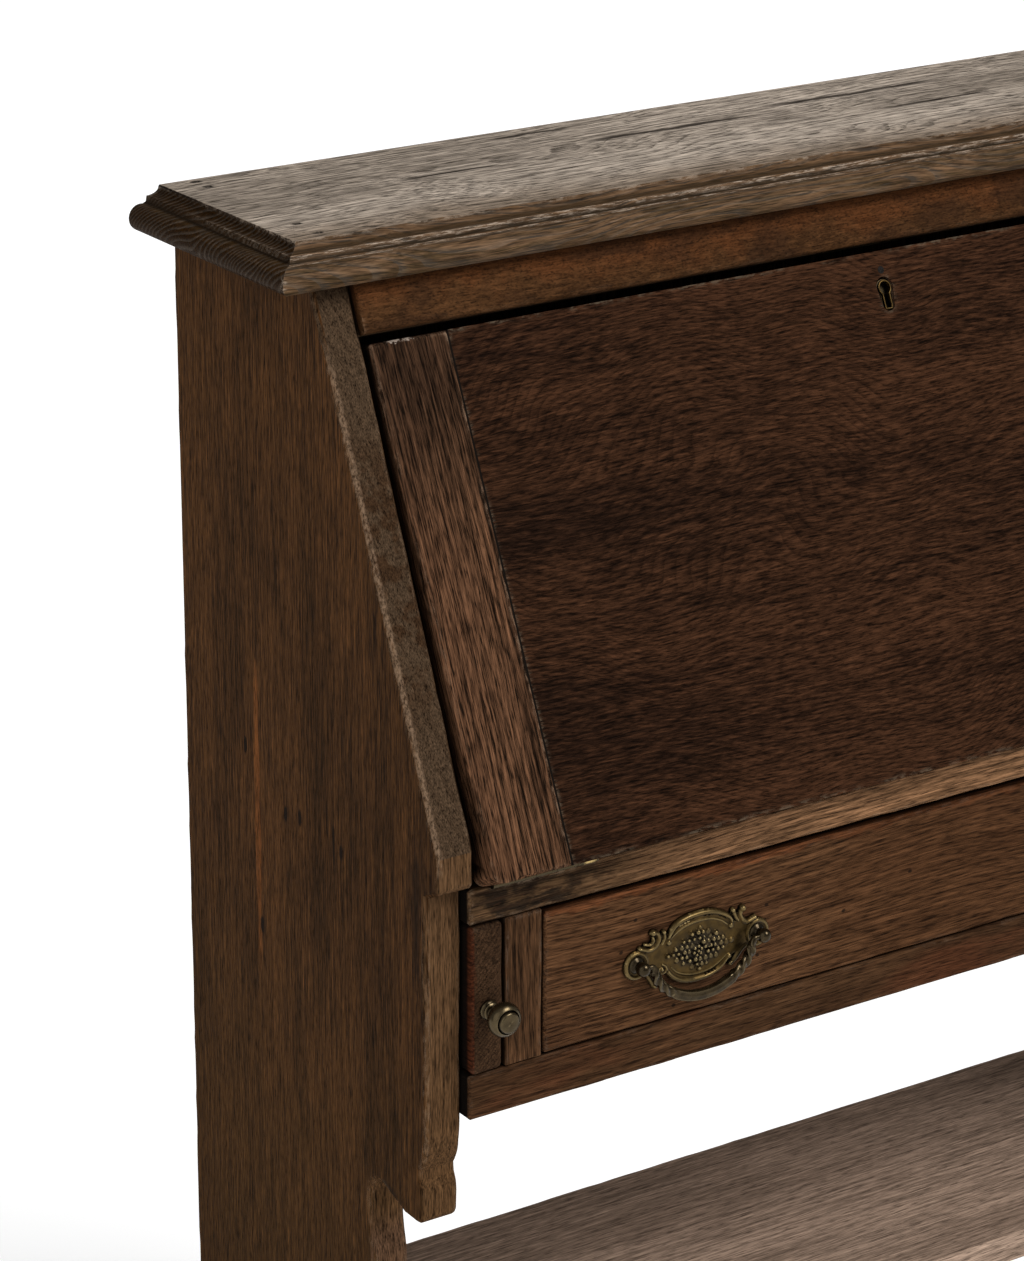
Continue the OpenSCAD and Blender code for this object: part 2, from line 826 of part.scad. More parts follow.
// A turned knob: collar, neck and a round head with a flat front
module loper_knob(s) {
    color(old_brass) centred() hand(s) on_knob() {
        knob_stem();
        rotate_extrude() polygon(concat(
            [[0, 0], [4.6, 0], [4.6, 1.6], [3.7, 2.4], [3.7, 3.4], [3, 4.4], [2.8, 7]],
            arc([knob_r - 4.6, knob_len - 6], [4.6, 4.6], -105, 65, 14),
            [[knob_r - 2.9, knob_len - 0.6], [knob_r - 3.4, knob_len], [0, knob_len]]));
    }
}

module loper_peg(s) color(oak_inside) centred() hand(s) peg();

side(LEFT);  // side_left
side(RIGHT);  // side_right
top_board();
top_rail();
front_rail();
bottom_rail();
stile(LEFT);  // stile_left
stile(RIGHT);  // stile_right
writing_board();
back_panel();
partition(LEFT);  // partition_left
partition(RIGHT);  // partition_right
drawer_guide(LEFT);  // drawer_guide_left
drawer_guide(RIGHT);  // drawer_guide_right
runner(LEFT);  // runner_left
runner(RIGHT);  // runner_right
bottom_back_rail();
fall_stop(LEFT);  // fall_stop_left
fall_stop(RIGHT);  // fall_stop_right
under_shelf();
pigeonhole_top();
pigeonhole_shelf();
pigeonhole_dividers();
rail_block(LEFT);  // rail_block_left
rail_block(RIGHT);  // rail_block_right
strike_plate();
top_nails();
rail_hinge_leaf(LEFT);  // rail_hinge_leaf_left
rail_hinge_leaf(RIGHT);  // rail_hinge_leaf_right
fall_hinge_leaf(LEFT);  // fall_hinge_leaf_left
fall_hinge_leaf(RIGHT);  // fall_hinge_leaf_right
hinge_pin(LEFT);  // hinge_pin_left
hinge_pin(RIGHT);  // hinge_pin_right
rail_hinge_screws();
fall_hinge_screws();
fall_panel();
fall_end(LEFT);  // fall_end_left
fall_end(RIGHT);  // fall_end_right
escutcheon();
lock_case();
lock_screws();
lock_bolt();
drawer_front();
drawer_side(LEFT);  // drawer_side_left
drawer_side(RIGHT);  // drawer_side_right
drawer_back();
drawer_bottom();
pull_plate(LEFT);  // pull_plate_left
pull_plate(RIGHT);  // pull_plate_right
pull_posts(LEFT);  // pull_posts_left
pull_posts(RIGHT);  // pull_posts_right
pull_nuts();
bail(LEFT);  // bail_left
bail(RIGHT);  // bail_right
loper(LEFT);  // loper_left
loper(RIGHT);  // loper_right
loper_knob(LEFT);  // loper_knob_left
loper_knob(RIGHT);  // loper_knob_right
loper_peg(LEFT);  // loper_peg_left
loper_peg(RIGHT);  // loper_peg_right
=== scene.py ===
"""Secretary desk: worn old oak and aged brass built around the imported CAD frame.

Metres, in the row frame: +X right, +Y back, +Z up, origin on the floor under the desk.
"""
import json
import math

import bmesh
import bpy
import numpy as np
from mathutils import Matrix, Vector, noise


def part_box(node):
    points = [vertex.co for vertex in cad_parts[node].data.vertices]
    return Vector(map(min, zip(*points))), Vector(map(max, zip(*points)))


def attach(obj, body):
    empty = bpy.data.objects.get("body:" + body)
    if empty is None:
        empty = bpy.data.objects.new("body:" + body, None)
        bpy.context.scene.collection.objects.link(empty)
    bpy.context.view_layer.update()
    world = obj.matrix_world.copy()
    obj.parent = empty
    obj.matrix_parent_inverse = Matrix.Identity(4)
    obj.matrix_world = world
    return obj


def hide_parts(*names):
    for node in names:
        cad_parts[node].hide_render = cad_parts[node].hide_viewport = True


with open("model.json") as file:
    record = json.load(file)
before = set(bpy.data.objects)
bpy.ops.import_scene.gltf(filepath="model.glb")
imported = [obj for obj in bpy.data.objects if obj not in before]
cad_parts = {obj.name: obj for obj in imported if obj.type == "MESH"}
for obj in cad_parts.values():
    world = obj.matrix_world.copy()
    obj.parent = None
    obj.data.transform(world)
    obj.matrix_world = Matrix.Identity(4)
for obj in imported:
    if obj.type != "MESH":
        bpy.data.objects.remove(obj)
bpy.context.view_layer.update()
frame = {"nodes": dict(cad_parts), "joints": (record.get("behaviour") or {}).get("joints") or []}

MM = 0.001
SIDES = {"left": -1, "right": 1}
FALL = next(j for j in frame["joints"] if j["name"] == "fall_hinge")
BOLT = next(j for j in frame["joints"] if j["name"] == "bolt_slide")
PIVOT = Vector(FALL["pos_m"])
LEAN = math.atan2(BOLT["axis"][1], BOLT["axis"][2])


# ---- Shaders ----

class Shader:
    """One node material. Its methods add nodes and return their output sockets."""

    def __init__(self, name):
        self.material = bpy.data.materials.new(name)
        self.material.use_nodes = True
        self.tree = self.material.node_tree
        self.surface = self.tree.nodes["Principled BSDF"]
        self.spot_place = self.node("TexCoord").outputs["Object"]

    def feed(self, socket, value):
        if isinstance(value, bpy.types.NodeSocket):
            self.tree.links.new(value, socket)
        else:
            socket.default_value = value

    def node(self, kind, inputs=None, **settings):
        made = self.tree.nodes.new("ShaderNode" + kind)
        for key, value in settings.items():
            setattr(made, key, value)
        for key, value in (inputs or {}).items():
            self.feed(made.inputs[key], value)
        return made

    def math(self, operation, a, b=0.0, clamp=False):
        return self.node("Math", {0: a, 1: b}, operation=operation, use_clamp=clamp).outputs[0]

    def product(self, *values):
        result = values[0]
        for value in values[1:]:
            result = self.math("MULTIPLY", result, value)
        return result

    def mix(self, factor, a, b, blend="MIX"):
        made = self.node("Mix", data_type="RGBA", blend_type=blend)
        for index, value in ((0, factor), (6, a), (7, b)):
            self.feed(made.inputs[index], value)
        return made.outputs[2]

    def band(self, value, low, high):
        """0 at low and 1 at high, smooth between; low may be the larger."""
        inputs = {"Value": value, "From Min": low, "From Max": high}
        return self.node("MapRange", inputs, interpolation_type="SMOOTHSTEP").outputs[0]

    def stretch(self, vector, scale, location=(0, 0, 0)):
        inputs = {"Vector": vector, "Scale": scale, "Location": location}
        return self.node("Mapping", inputs).outputs[0]

    def noise(self, vector, scale, detail=2.0, roughness=0.5):
        inputs = {"Vector": vector, "Scale": scale, "Detail": detail, "Roughness": roughness}
        return self.node("TexNoise", inputs).outputs["Fac"]

    def axis(self, index, vector=None):
        return self.node("SeparateXYZ", {0: vector or self.spot_place}).outputs[index]

    def spot(self, centre, radii, ragged=0.5, scale=60.0):
        """A patch around a point: 1 inside, 0 outside, with a ragged soft edge."""
        size = tuple(1 / r for r in radii)
        offset = tuple(-c / r for c, r in zip(centre, radii))
        local = self.stretch(self.spot_place, size, offset)
        reach = self.node("VectorMath", {0: local}, operation="LENGTH").outputs["Value"]
        rough = self.math("MULTIPLY", self.noise(self.spot_place, scale, 4.0, 0.6), ragged * 2)
        return self.band(self.math("ADD", reach, rough), 1.0 + ragged, 0.55 + ragged)

    def past(self, index, start, end, ragged=0.0, scale=40.0):
        """0 before start and 1 past end along one axis, with a ragged edge."""
        place = self.axis(index)
        if ragged:
            rough = self.math("SUBTRACT", self.noise(self.spot_place, scale, 4.0, 0.6), 0.5)
            place = self.math("ADD", place, self.math("MULTIPLY", rough, ragged * 2))
        return self.band(place, start, end)

    def set(self, **values):
        for key, value in values.items():
            self.feed(self.surface.inputs[key.replace("_", " ")], value)


def tint(rgb, factor=1.0):
    return (*(min(1.0, c * factor) for c in rgb), 1.0)


GRAIN_TURN = {"x": (0, math.pi / 2, 0), "y": (math.pi / 2, 0, 0), "z": (0, 0, 0), "slope": (LEAN, 0, 0)}


def oak(name, grain, dark, light, pore, seed, ring=6.0, wander=12.0, rings=0.35, wave=(3.0, 0.8),
        flow=4.0, fibre=0.9, pores=0.5, gather=0.06, dash=0.09, fine=1.0, run=0.04, worn=0.5, worn_tone=(0.2, 0.15, 0.11),
        gloss=0.6, sheen=0.012, tones=(), patches=(), grime_and_shade=0.8, relief=0.5):
    """Old oak. grain is the axis its fibres run along. ring is the growth rings' pitch and wander
    how far they stray, in mm; rings is their contrast; wave is how often they stray across and
    along, per metre; flow is how far the fibres stray, in mm; gather draws the pores into the
    rings and dash is the pores' width over their length; fine raises the fibres' frequency and run
    shortens them. Each tone or patch is (mask, colour,
    strength), where mask is a function of the shader: tones lie under the grain, patches over it."""
    s = Shader(name)
    turned = s.node("Mapping", {"Vector": s.spot_place, "Rotation": GRAIN_TURN[grain],
                                "Location": (seed * 1.7, seed * 0.9, seed * 2.3)}).outputs[0]
    drift = s.noise(s.stretch(turned, (wave[0], wave[0], wave[1])), 4.0, 1.5, 0.45)
    spread = s.math("ADD", s.axis(0, turned), s.axis(1, turned))
    field = s.math("ADD", spread, s.math("MULTIPLY", drift, wander * MM * 4))
    ripple = s.noise(s.stretch(turned, (1, 1, 0.25)), 70.0, 2.0)
    field = s.math("ADD", s.math("MULTIPLY", field, 1000 / ring), s.math("MULTIPLY", ripple, 0.9))
    turn = s.math("FRACT", field)
    early = s.math("MULTIPLY", s.band(turn, 0.62, 0.0), s.band(turn, 0.0, 0.06))
    side_step = s.math("MULTIPLY", s.math("ADD", drift, s.math("MULTIPLY", ripple, 0.12)), flow * MM * 4)
    bend = s.node("VectorMath", {0: turned, 1: s.node("CombineXYZ", {0: side_step}).outputs[0]},
                  operation="ADD").outputs[0]
    streak = s.noise(s.stretch(bend, (1, 1, run)), 520.0 * fine, 5.0, 0.68)
    hair = s.noise(s.stretch(bend, (1, 1, 0.04)), 1500.0 * fine, 2.0, 0.6)
    pits = s.noise(s.stretch(bend, (1, 1, dash)), 1200.0 * fine, 2.0, 0.6)
    tone = s.noise(s.stretch(turned, (1, 1, 0.12)), 26.0, 4.0, 0.55)
    broad = s.noise(s.stretch(turned, (1, 1, 0.35)), 7.0, 3.0)
    opened = s.math("ADD", pits, s.math("MULTIPLY", s.math("SUBTRACT", early, 0.35), gather))
    opened = s.math("MULTIPLY", s.band(opened, 0.56, 0.68), pores)

    blend = s.math("ADD", s.math("MULTIPLY", tone, 0.55), s.math("MULTIPLY", broad, 0.45))
    blend = s.math("ADD", blend, s.math("MULTIPLY", s.math("SUBTRACT", streak, 0.5), 0.5))
    colour = s.mix(s.band(blend, 0.36, 0.64), tint(dark), tint(light))
    for mask, patch, strength in tones:
        colour = s.mix(s.math("MULTIPLY", mask(s), strength), colour, tint(patch))
    colour = s.mix(s.math("MULTIPLY", early, rings), colour, tint(dark, 0.5))
    bright = s.math("ADD", s.math("MULTIPLY", streak, 0.45), s.math("MULTIPLY", hair, 0.4))
    bright = s.math("ADD", bright, s.math("MULTIPLY", pits, -0.35))
    bright = s.math("MULTIPLY", s.math("SUBTRACT", bright, 0.25), fibre * 6.5)
    bright = s.math("MAXIMUM", s.math("ADD", bright, 1.0), 0.12)
    shade = s.node("CombineColor", {0: bright, 1: bright, 2: bright}).outputs[0]
    colour = s.mix(1.0, colour, shade, "MULTIPLY")
    colour = s.mix(opened, colour, tint(pore))
    inner = s.node("AmbientOcclusion", {"Distance": 0.0035}, samples=6, inside=True, only_local=True)
    edge = s.band(inner.outputs["AO"], 0.9, 0.55)
    patchy = s.band(s.noise(s.spot_place, 34.0, 4.0, 0.65), 0.38, 0.56)
    speckle = s.band(s.noise(s.stretch(turned, (1, 1, 0.3)), 520.0, 4.0, 0.7), 0.44, 0.6)
    colour = s.mix(s.product(edge, patchy, speckle, worn), colour, tint(worn_tone))
    # Painted shade with grime: the colour darkens towards the pore tone in crevices and between parts, where the AO
    # finds surfaces near.
    crevice = s.node("AmbientOcclusion", {"Distance": 0.012}, samples=6).outputs["AO"]
    colour = s.mix(s.math("MULTIPLY", s.band(crevice, 0.75, 0.25), grime_and_shade), colour, tint(pore, 0.4))
    for mask, patch, strength in patches:
        colour = s.mix(s.math("MULTIPLY", mask(s), strength), colour, tint(patch))

    rough = s.math("ADD", gloss, s.math("MULTIPLY", s.math("SUBTRACT", streak, 0.5), 0.3))
    rough = s.math("ADD", rough, s.math("MULTIPLY", opened, 0.25), clamp=True)
    height = s.math("ADD", s.math("MULTIPLY", bright, 0.35), s.math("MULTIPLY", tone, 0.5))
    height = s.math("SUBTRACT", height, s.math("MULTIPLY", opened, 0.6))
    bump = s.node("Bump", {"Height": height, "Strength": relief, "Distance": 0.0005}).outputs[0]
    s.set(Base_Color=colour, Roughness=rough, Normal=bump, Specular_IOR_Level=sheen)
    return s.material


def brass(name, base=(0.083, 0.049, 0.0125), dark=(0.004, 0.003, 0.002), bright=(0.46, 0.34, 0.15),
          polish=0.45, gloss=0.36, reach=0.004, patches=()):
    """Aged brass: brown patina, black in the hollows, rubbed bright on what stands out."""
    s = Shader(name)
    cloudy = s.noise(s.spot_place, 160.0, 5.0, 0.65)
    fine = s.noise(s.spot_place, 1500.0, 3.0, 0.6)
    colour = s.mix(s.band(cloudy, 0.35, 0.68), tint(base, 0.45), tint(base))
    for mask, patch, strength in patches:
        colour = s.mix(s.math("MULTIPLY", mask(s), strength), colour, tint(patch))
    proud = s.band(s.node("NewGeometry").outputs["Pointiness"], 0.505, 0.57)
    colour = s.mix(s.math("MULTIPLY", proud, polish), colour, tint(bright))
    hollow = s.node("AmbientOcclusion", {"Distance": reach}, samples=8).outputs["AO"]
    colour = s.mix(s.band(hollow, 0.95, 0.45), colour, tint(dark))
    rough = s.math("ADD", gloss, s.math("MULTIPLY", s.math("SUBTRACT", cloudy, 0.5), 0.5), clamp=True)
    bump = s.node("Bump", {"Height": fine, "Strength": 0.25, "Distance": 0.0001}).outputs[0]
    s.set(Base_Color=colour, Metallic=0.9, Roughness=rough, Normal=bump)
    return s.material


# ---- Boards ----

ARRIS_STEP = 0.009
CRISP = ("fall_panel", "fall_end_left", "fall_end_right")
JOINT_X = -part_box("fall_end_left")[1].x


def split_edges(bm, edges, step):
    """Cuts each edge into pieces no longer than step; returns all the pieces."""
    pieces = []
    for edge in edges:
        cuts = int(edge.calc_length() / step)
        for left in range(cuts, 0, -1):
            made, _ = bmesh.utils.edge_split(edge, edge.verts[0], 1 / (left + 1))
            pieces.append(made)
        pieces.append(edge)
    return pieces


def face_depth(face, edge):
    """How far a face reaches from one of its edges."""
    start, along = edge.verts[0].co, (edge.verts[1].co - edge.verts[0].co).normalized()
    return max((v.co - start - along * (v.co - start).dot(along)).length for v in face.verts)


def outer_edges(bm, node, arris):
    """The convex arrises of a board that have room for rounding: not the small holes' and
    recesses' edges, nor those of the fall's closed joints."""
    found = []
    for e in bm.edges:
        if len(e.link_faces) != 2 or not e.is_convex or e.calc_face_angle() < math.radians(30):
            continue
        if e.calc_length() < (0.0004 if node.startswith("side_") else 0.003):
            continue
        if node in CRISP and all(abs(abs(v.co.x) - JOINT_X) < 0.0004 for v in e.verts):
            continue
        if min(face_depth(f, e) for f in e.link_faces) > 2.2 * arris * MM:
            found.append(e)
    return found


def round_corner(bm, radius=0.006):
    """Rounds off the outer lower corner of an end of the fall."""
    through = Vector((0, -math.cos(LEAN), math.sin(LEAN)))
    outer = max(abs(v.co.x) for v in bm.verts)
    found = [e for e in bm.edges if len(e.link_faces) == 2 and e.is_convex
             and all(abs(v.co.x) > outer - 0.0003 for v in e.verts)
             and abs((e.verts[1].co - e.verts[0].co).normalized().dot(through)) > 0.98
             and e.calc_length() > 0.004]
    lowest = min(found, key=lambda e: e.verts[0].co.z + e.verts[1].co.z)
    bmesh.ops.bevel(bm, geom=[lowest], offset=radius, offset_type="OFFSET", segments=5, profile=0.5,
                    affect="EDGES", clamp_overlap=True)
    bm.normal_update()


def board(node, body, material, arris=1.4, dents=0.7, seed=0.0):
    """A CAD board with its outer arrises rounded, and dented and rubbed unevenly."""
    low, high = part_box(node)
    bm = bmesh.new()
    bm.from_mesh(frame["nodes"][node].data)
    bmesh.ops.remove_doubles(bm, verts=bm.verts, dist=1e-6)
    bmesh.ops.dissolve_limit(bm, angle_limit=math.radians(0.4), verts=bm.verts, edges=bm.edges)
    if node.startswith("fall_end"):
        round_corner(bm)
    sharp = set(split_edges(bm, outer_edges(bm, node, arris), ARRIS_STEP))
    tight = {v for e in bm.edges if e not in sharp and e.calc_length() < 1.2 * arris * MM for v in e.verts}
    if not node.startswith("side_"):
        sharp = {e for e in sharp if not tight & set(e.verts)}
    sharp = sorted(sharp, key=lambda e: e.index)
    made = bmesh.ops.bevel(bm, geom=sharp, offset=arris * MM, offset_type="OFFSET", segments=3,
                           profile=0.5, affect="EDGES", clamp_overlap=False)
    strips = set(made["faces"])
    bm.normal_update()
    shift = {}
    for vert in {v for f in strips for v in f.verts}:
        spot = vert.co * 45 + Vector((seed, seed * 2, seed * 3))
        deep = max(0.0, noise.noise(spot) + 0.25) + 0.6 * max(0.0, noise.noise(spot * 3.1) - 0.1)
        move = vert.normal * (-deep * dents * MM)
        for face in vert.link_faces:
            if face not in strips:
                move -= face.normal * move.dot(face.normal)
        shift[vert] = move
    for vert, move in shift.items():
        vert.co = [min(max(c, a), b) for c, a, b in zip(vert.co + move, low, high)]
    mesh = bpy.data.meshes.new(node + "_worn")
    bm.to_mesh(mesh)
    bm.free()
    piece = bpy.data.objects.new(node + "_board", mesh)
    bpy.context.scene.collection.objects.link(piece)
    finish_piece(piece, body, material)
    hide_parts(node)
    return piece


def finish_piece(piece, body, material, sharp=50):
    """Smooth shading with true creases, one material, and the body that the piece rides on."""
    piece.data.shade_smooth()
    piece.data.set_sharp_from_angle(angle=math.radians(sharp))
    weighted = piece.modifiers.new("normals", "WEIGHTED_NORMAL")
    weighted.keep_sharp = True
    piece.data.materials.clear()
    piece.data.materials.append(material)
    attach(piece, body)


def recolour(node, material):
    """Gives a CAD node that keeps its own mesh a better material."""
    mesh = frame["nodes"][node].data
    mesh.materials.clear()
    mesh.materials.append(material)


# ---- Fittings ----

def add_mesh(name, verts, faces, body, material, replaced, sharp=40):
    mesh = bpy.data.meshes.new(name)
    mesh.from_pydata([tuple(v) for v in verts], [], faces)
    mesh.validate()
    piece = bpy.data.objects.new(name, mesh)
    bpy.context.scene.collection.objects.link(piece)
    finish_piece(piece, body, material, sharp)
    if replaced:
        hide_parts(replaced)
    return piece


def lathe(profile, centre, around, steps=48):
    """A turned shape: profile is (radius, distance along around) from one end to the other."""
    axis = Vector(around)
    turn = axis.to_track_quat("Z", "Y").to_matrix()
    verts, faces = [], []
    for radius, along in profile:
        for i in range(steps):
            angle = math.tau * i / steps
            local = Vector((radius * math.cos(angle), radius * math.sin(angle), along)) * MM
            verts.append(Vector(centre) + turn @ local)
    for row in range(len(profile) - 1):
        for i in range(steps):
            a, b = row * steps + i, row * steps + (i + 1) % steps
            faces.append((a, b, b + steps, a + steps))
    faces.append(tuple(reversed(range(steps))))
    faces.append(tuple(range((len(profile) - 1) * steps, len(profile) * steps)))
    return verts, faces


def smooth_line(points, steps=10):
    """Points along a smooth curve through the given ones."""
    p = np.array(points, float)
    ends = np.vstack([2 * p[0] - p[1], p, 2 * p[-1] - p[-2]])
    out = []
    for i in range(len(p) - 1):
        a, b, c, d = ends[i:i + 4]
        for t in np.arange(steps) / steps:
            out.append(0.5 * (2 * b + (c - a) * t + (2 * a - 5 * b + 4 * c - d) * t ** 2
                              + (3 * b - a - 3 * c + d) * t ** 3))
    return np.array(out + [p[-1]])


def line_distance(u, v, line):
    """Distance from each grid point to a line of points, and how far along the nearest one is."""
    best = np.full(u.shape, 1e9)
    along = np.zeros(u.shape)
    for i, (a, b) in enumerate(zip(line[:-1], line[1:])):
        d = b - a
        t = np.clip(((u - a[0]) * d[0] + (v - a[1]) * d[1]) / max(d @ d, 1e-9), 0, 1)
        gap = np.hypot(u - a[0] - t * d[0], v - a[1] - t * d[1])
        near = gap < best
        best = np.where(near, gap, best)
        along = np.where(near, (i + t) / (len(line) - 1), along)
    return best, along


# The pull's cast scrolls, in mm from the plate's centre: (points, half width, height, taper)
SCROLLS = [
    ([(-18.6, 8.4), (-17.4, 12.2), (-14.4, 16), (-8.8, 18.3), (-0.5, 19.3), (7.8, 18.7), (14.8, 16.2),
      (20.3, 12.4), (21.6, 9)], 1.5, 1.7, 0.4),
    ([(-18.4, 8.6), (-14.6, 11.8), (-9, 14.3), (-0.5, 15.6), (7.8, 15), (14, 12.6), (18, 9.6), (19.8, 8.2)],
     0.9, 1.2, 0.5),
    ([(-36, 8.4), (-31, 6.6), (-26.9, 7.8), (-24.5, 11.2), (-25.4, 14.2), (-28, 15.8)], 1.5, 1.7, 0.3),
    ([(-33, 10), (-29.5, 9.2), (-27.6, 11), (-28.2, 13.4)], 0.8, 1.0, 0.3),
    ([(-21.2, 13.9), (-20.9, 11), (-22.6, 8.2)], 1.1, 1.3, 0.2),
    ([(36.3, 8.8), (31.4, 7.4), (28, 9.8), (26.7, 12.6), (28, 15.6)], 1.5, 1.7, 0.3),
    ([(22.6, 15.6), (23.6, 12.6), (25.6, 9.6)], 1.2, 1.4, 0.3),
    ([(-20.3, -5), (-17.6, -9.4), (-13.9, -12.9), (-8, -15.8), (-0.5, -17), (7.8, -16.4), (14.4, -13.9),
      (19.6, -9.2)], 1.4, 1.6, 0.4),
    ([(-16.6, -6.2), (-13.4, -9.6), (-7.6, -12.4), (-0.5, -13.7), (7.4, -13.2), (13.4, -10.9), (18.6, -7.6)],
     0.9, 1.1, 0.5),
    ([(-22.2, -3.4), (-19.9, -5.2), (-20.9, -8), (-23.8, -7.8), (-24.2, -5.4)], 1.0, 1.4, 0.2),
    ([(-31, -6.4), (-29.2, -9.6), (-27.6, -12.6), (-26.4, -14)], 1.4, 1.5, -0.2),
    ([(21.6, -13.4), (24.4, -11.2), (27.6, -7.6), (31, -5.4)], 1.5, 1.5, 0.4),
]
CURL_KNOBS = [(-18.6, 8, 1.8), (20.6, 8.2, 1.9), (-28.2, 15.4, 1.7), (28.4, 15.6, 1.8), (22.3, 15.8, 1.4),
              (-21.3, 14.2, 1.3), (-26.4, -13.8, 1.9), (19.9, -8.9, 1.6), (-22.6, -6.2, 1.5), (21.4, -13.4, 1.4)]
FIELD = [(-38, 4), (-30, 7.5), (-20, 10), (-12, 15.5), (0, 18.5), (12, 16.5), (21, 11), (30, 8), (38, 4),
         (38, -4), (30, -6.5), (22, -9), (13, -13.8), (0, -16.5), (-12, -14), (-21, -8), (-30, -7), (-38, -4)]
POST_U = 38.1
RIM_R = 6.5
SHEET = 0.9
PULL_STEP = 0.42


def bead_list():
    """The flower in the middle: beads in a lozenge, a rosette of petals and a bud."""
    beads = []
    for row in range(-4, 5):
        for col in range(-8, 9):
            u = 0.9 + col * 3.3 + (row % 2) * 1.65
            v = 0.2 + row * 2.9
            if abs(u - 0.9) / 21.5 + abs(v - 0.2) / 12 > 1 or math.hypot(u + 0.6, v + 0.6) < 4.2:
                continue
            swing = math.sin(row * 12.9 + col * 78.2) * 43758.5
            part = swing - math.floor(swing)
            other = part * 91 - math.floor(part * 91)
            shift_u, shift_v = (part - 0.5) * 1.5, (other - 0.5) * 1.3
            beads.append((u + shift_u, v + shift_v, 1.05 + 0.95 * part, 1.0 + 1.4 * other))
    for i in range(6):
        angle = math.tau * i / 6 + 0.3
        beads.append((-0.6 + 2.4 * math.cos(angle), -0.6 + 2.4 * math.sin(angle), 1.3, 1.9))
    beads.append((-0.6, -0.6, 1.2, 2.5))
    beads += [(5.0, 1.6, 1.7, 1.8), (6.1, 0.4, 1.1, 1.9), (-19.6, 0.2, 1.0, 0.9), (22.0, 0.4, 1.0, 0.9)]
    return beads


def pull_relief(u, v):
    """Height of the casting above the drawer, and signed distance out of its outline, in mm."""
    out = line_distance(u, v, np.array(FIELD + FIELD[:1], float))[0]
    corners = np.array(FIELD, float)
    inside = np.zeros(u.shape, bool)
    for a, b in zip(corners, np.roll(corners, -1, axis=0)):
        crosses = (a[1] > v) != (b[1] > v)
        span = b[1] - a[1] if b[1] != a[1] else 1.0
        inside ^= crosses & (u < a[0] + (v - a[1]) * (b[0] - a[0]) / span)
    out = np.where(inside, -out, out)
    dome = np.clip(1 - (u / 34) ** 2 - (v / 16.5) ** 2, 0, None)
    height = SHEET + 1.5 * np.sqrt(dome) * 0.8
    for points, width, rise, taper in SCROLLS:
        gap, along = line_distance(u, v, smooth_line(points))
        swell = width * (1 - taper * np.abs(2 * along - 1) ** 2)
        out = np.minimum(out, gap - swell - 0.35)
        ridge = np.sqrt(np.clip(1 - (gap / swell) ** 2, 0, None))
        dip = np.exp(-((gap - swell - 0.5) / 0.5) ** 2) * 0.45
        height = np.maximum(height - dip, SHEET + 0.4 + rise * ridge * (ridge > 0))
    for cu, cv, r in CURL_KNOBS:
        gap = np.hypot(u - cu, v - cv)
        out = np.minimum(out, gap - r - 0.2)
        height = np.maximum(height, SHEET + 0.5 + 1.15 * r * np.sqrt(np.clip(1 - (gap / r) ** 2, 0, None)))
    for side in SIDES.values():
        gap = np.hypot((u - side * POST_U) * 1.05, v + 0.3)
        out = np.minimum(out, gap - RIM_R - 1.6)
        bowl = gap < RIM_R
        height = np.where(bowl, np.minimum(height, SHEET + 0.1 * (gap / RIM_R)), height)
        height = np.maximum(height, SHEET + 1.7 * np.sqrt(np.clip(1 - ((gap - RIM_R) / 1.4) ** 2, 0, None)))
    for bu, bv, r, rise in bead_list():
        gap = np.hypot(u - bu, v - bv)
        dome_at = SHEET + 1.2 * math.sqrt(max(0.0, 1 - (bu / 34) ** 2 - (bv / 16.5) ** 2))
        height = np.maximum(height, dome_at - 0.2 + rise * np.sqrt(np.clip(1 - (gap / r) ** 2, 0, None)))
    return height, out


def pull_plate(side, sign):
    """The cast plate: a relief sheet with a rim, its edge drawn onto the true outline."""
    low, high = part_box("pull_plate_" + side)
    centre_x = (low.x + high.x) / 2
    centre_z = (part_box("pull_posts_" + side)[0].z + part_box("pull_posts_" + side)[1].z) / 2
    face_y = high.y
    us = np.arange(-46.6, 46.61, PULL_STEP)
    vs = np.arange(-21.5, 21.51, PULL_STEP)
    u, v = np.meshgrid(us, vs, indexing="ij")
    out = pull_relief(u, v)[1]
    grad_u, grad_v = np.gradient(out, PULL_STEP)
    size = np.maximum(np.hypot(grad_u, grad_v), 0.3)
    near = np.abs(out) < 0.5 * PULL_STEP * 1.5
    u = np.where(near, u - out * grad_u / size ** 2, u)
    v = np.where(near, v - out * grad_v / size ** 2, v)
    height = pull_relief(u, v)[0]
    keep = (out < 0) | near
    height = np.where(near, np.minimum(height, SHEET + 0.3), height)
    index = -np.ones(u.shape, int)
    verts, faces = [], []
    nu, nv = u.shape
    cells = [(i, j) for i in range(nu - 1) for j in range(nv - 1)
             if keep[i, j] and keep[i + 1, j] and keep[i, j + 1] and keep[i + 1, j + 1]]
    for i, j in cells:
        corners = ((i, j), (i + 1, j), (i + 1, j + 1), (i, j + 1))
        for c in corners:
            if index[c] < 0:
                index[c] = len(verts)
                verts.append((centre_x + u[c] * MM, face_y - height[c] * MM, centre_z + v[c] * MM))
        faces.append(tuple(index[c] for c in corners))
    edges = {}
    for face in faces:
        for a, b in zip(face, face[1:] + face[:1]):
            edges[(a, b)] = edges.get((a, b), 0) + 1
    rim = [(a, b) for a, b in edges if (b, a) not in edges]
    back = {}
    for a in sorted({a for pair in rim for a in pair}):
        back[a] = len(verts)
        verts.append((verts[a][0], face_y, verts[a][2]))
    faces += [(b, a, back[a], back[b]) for a, b in rim]
    plate = add_mesh("pull_plate_%s_cast" % side, verts, faces, "drawer", BRASS, "pull_plate_" + side, 75)
    return plate


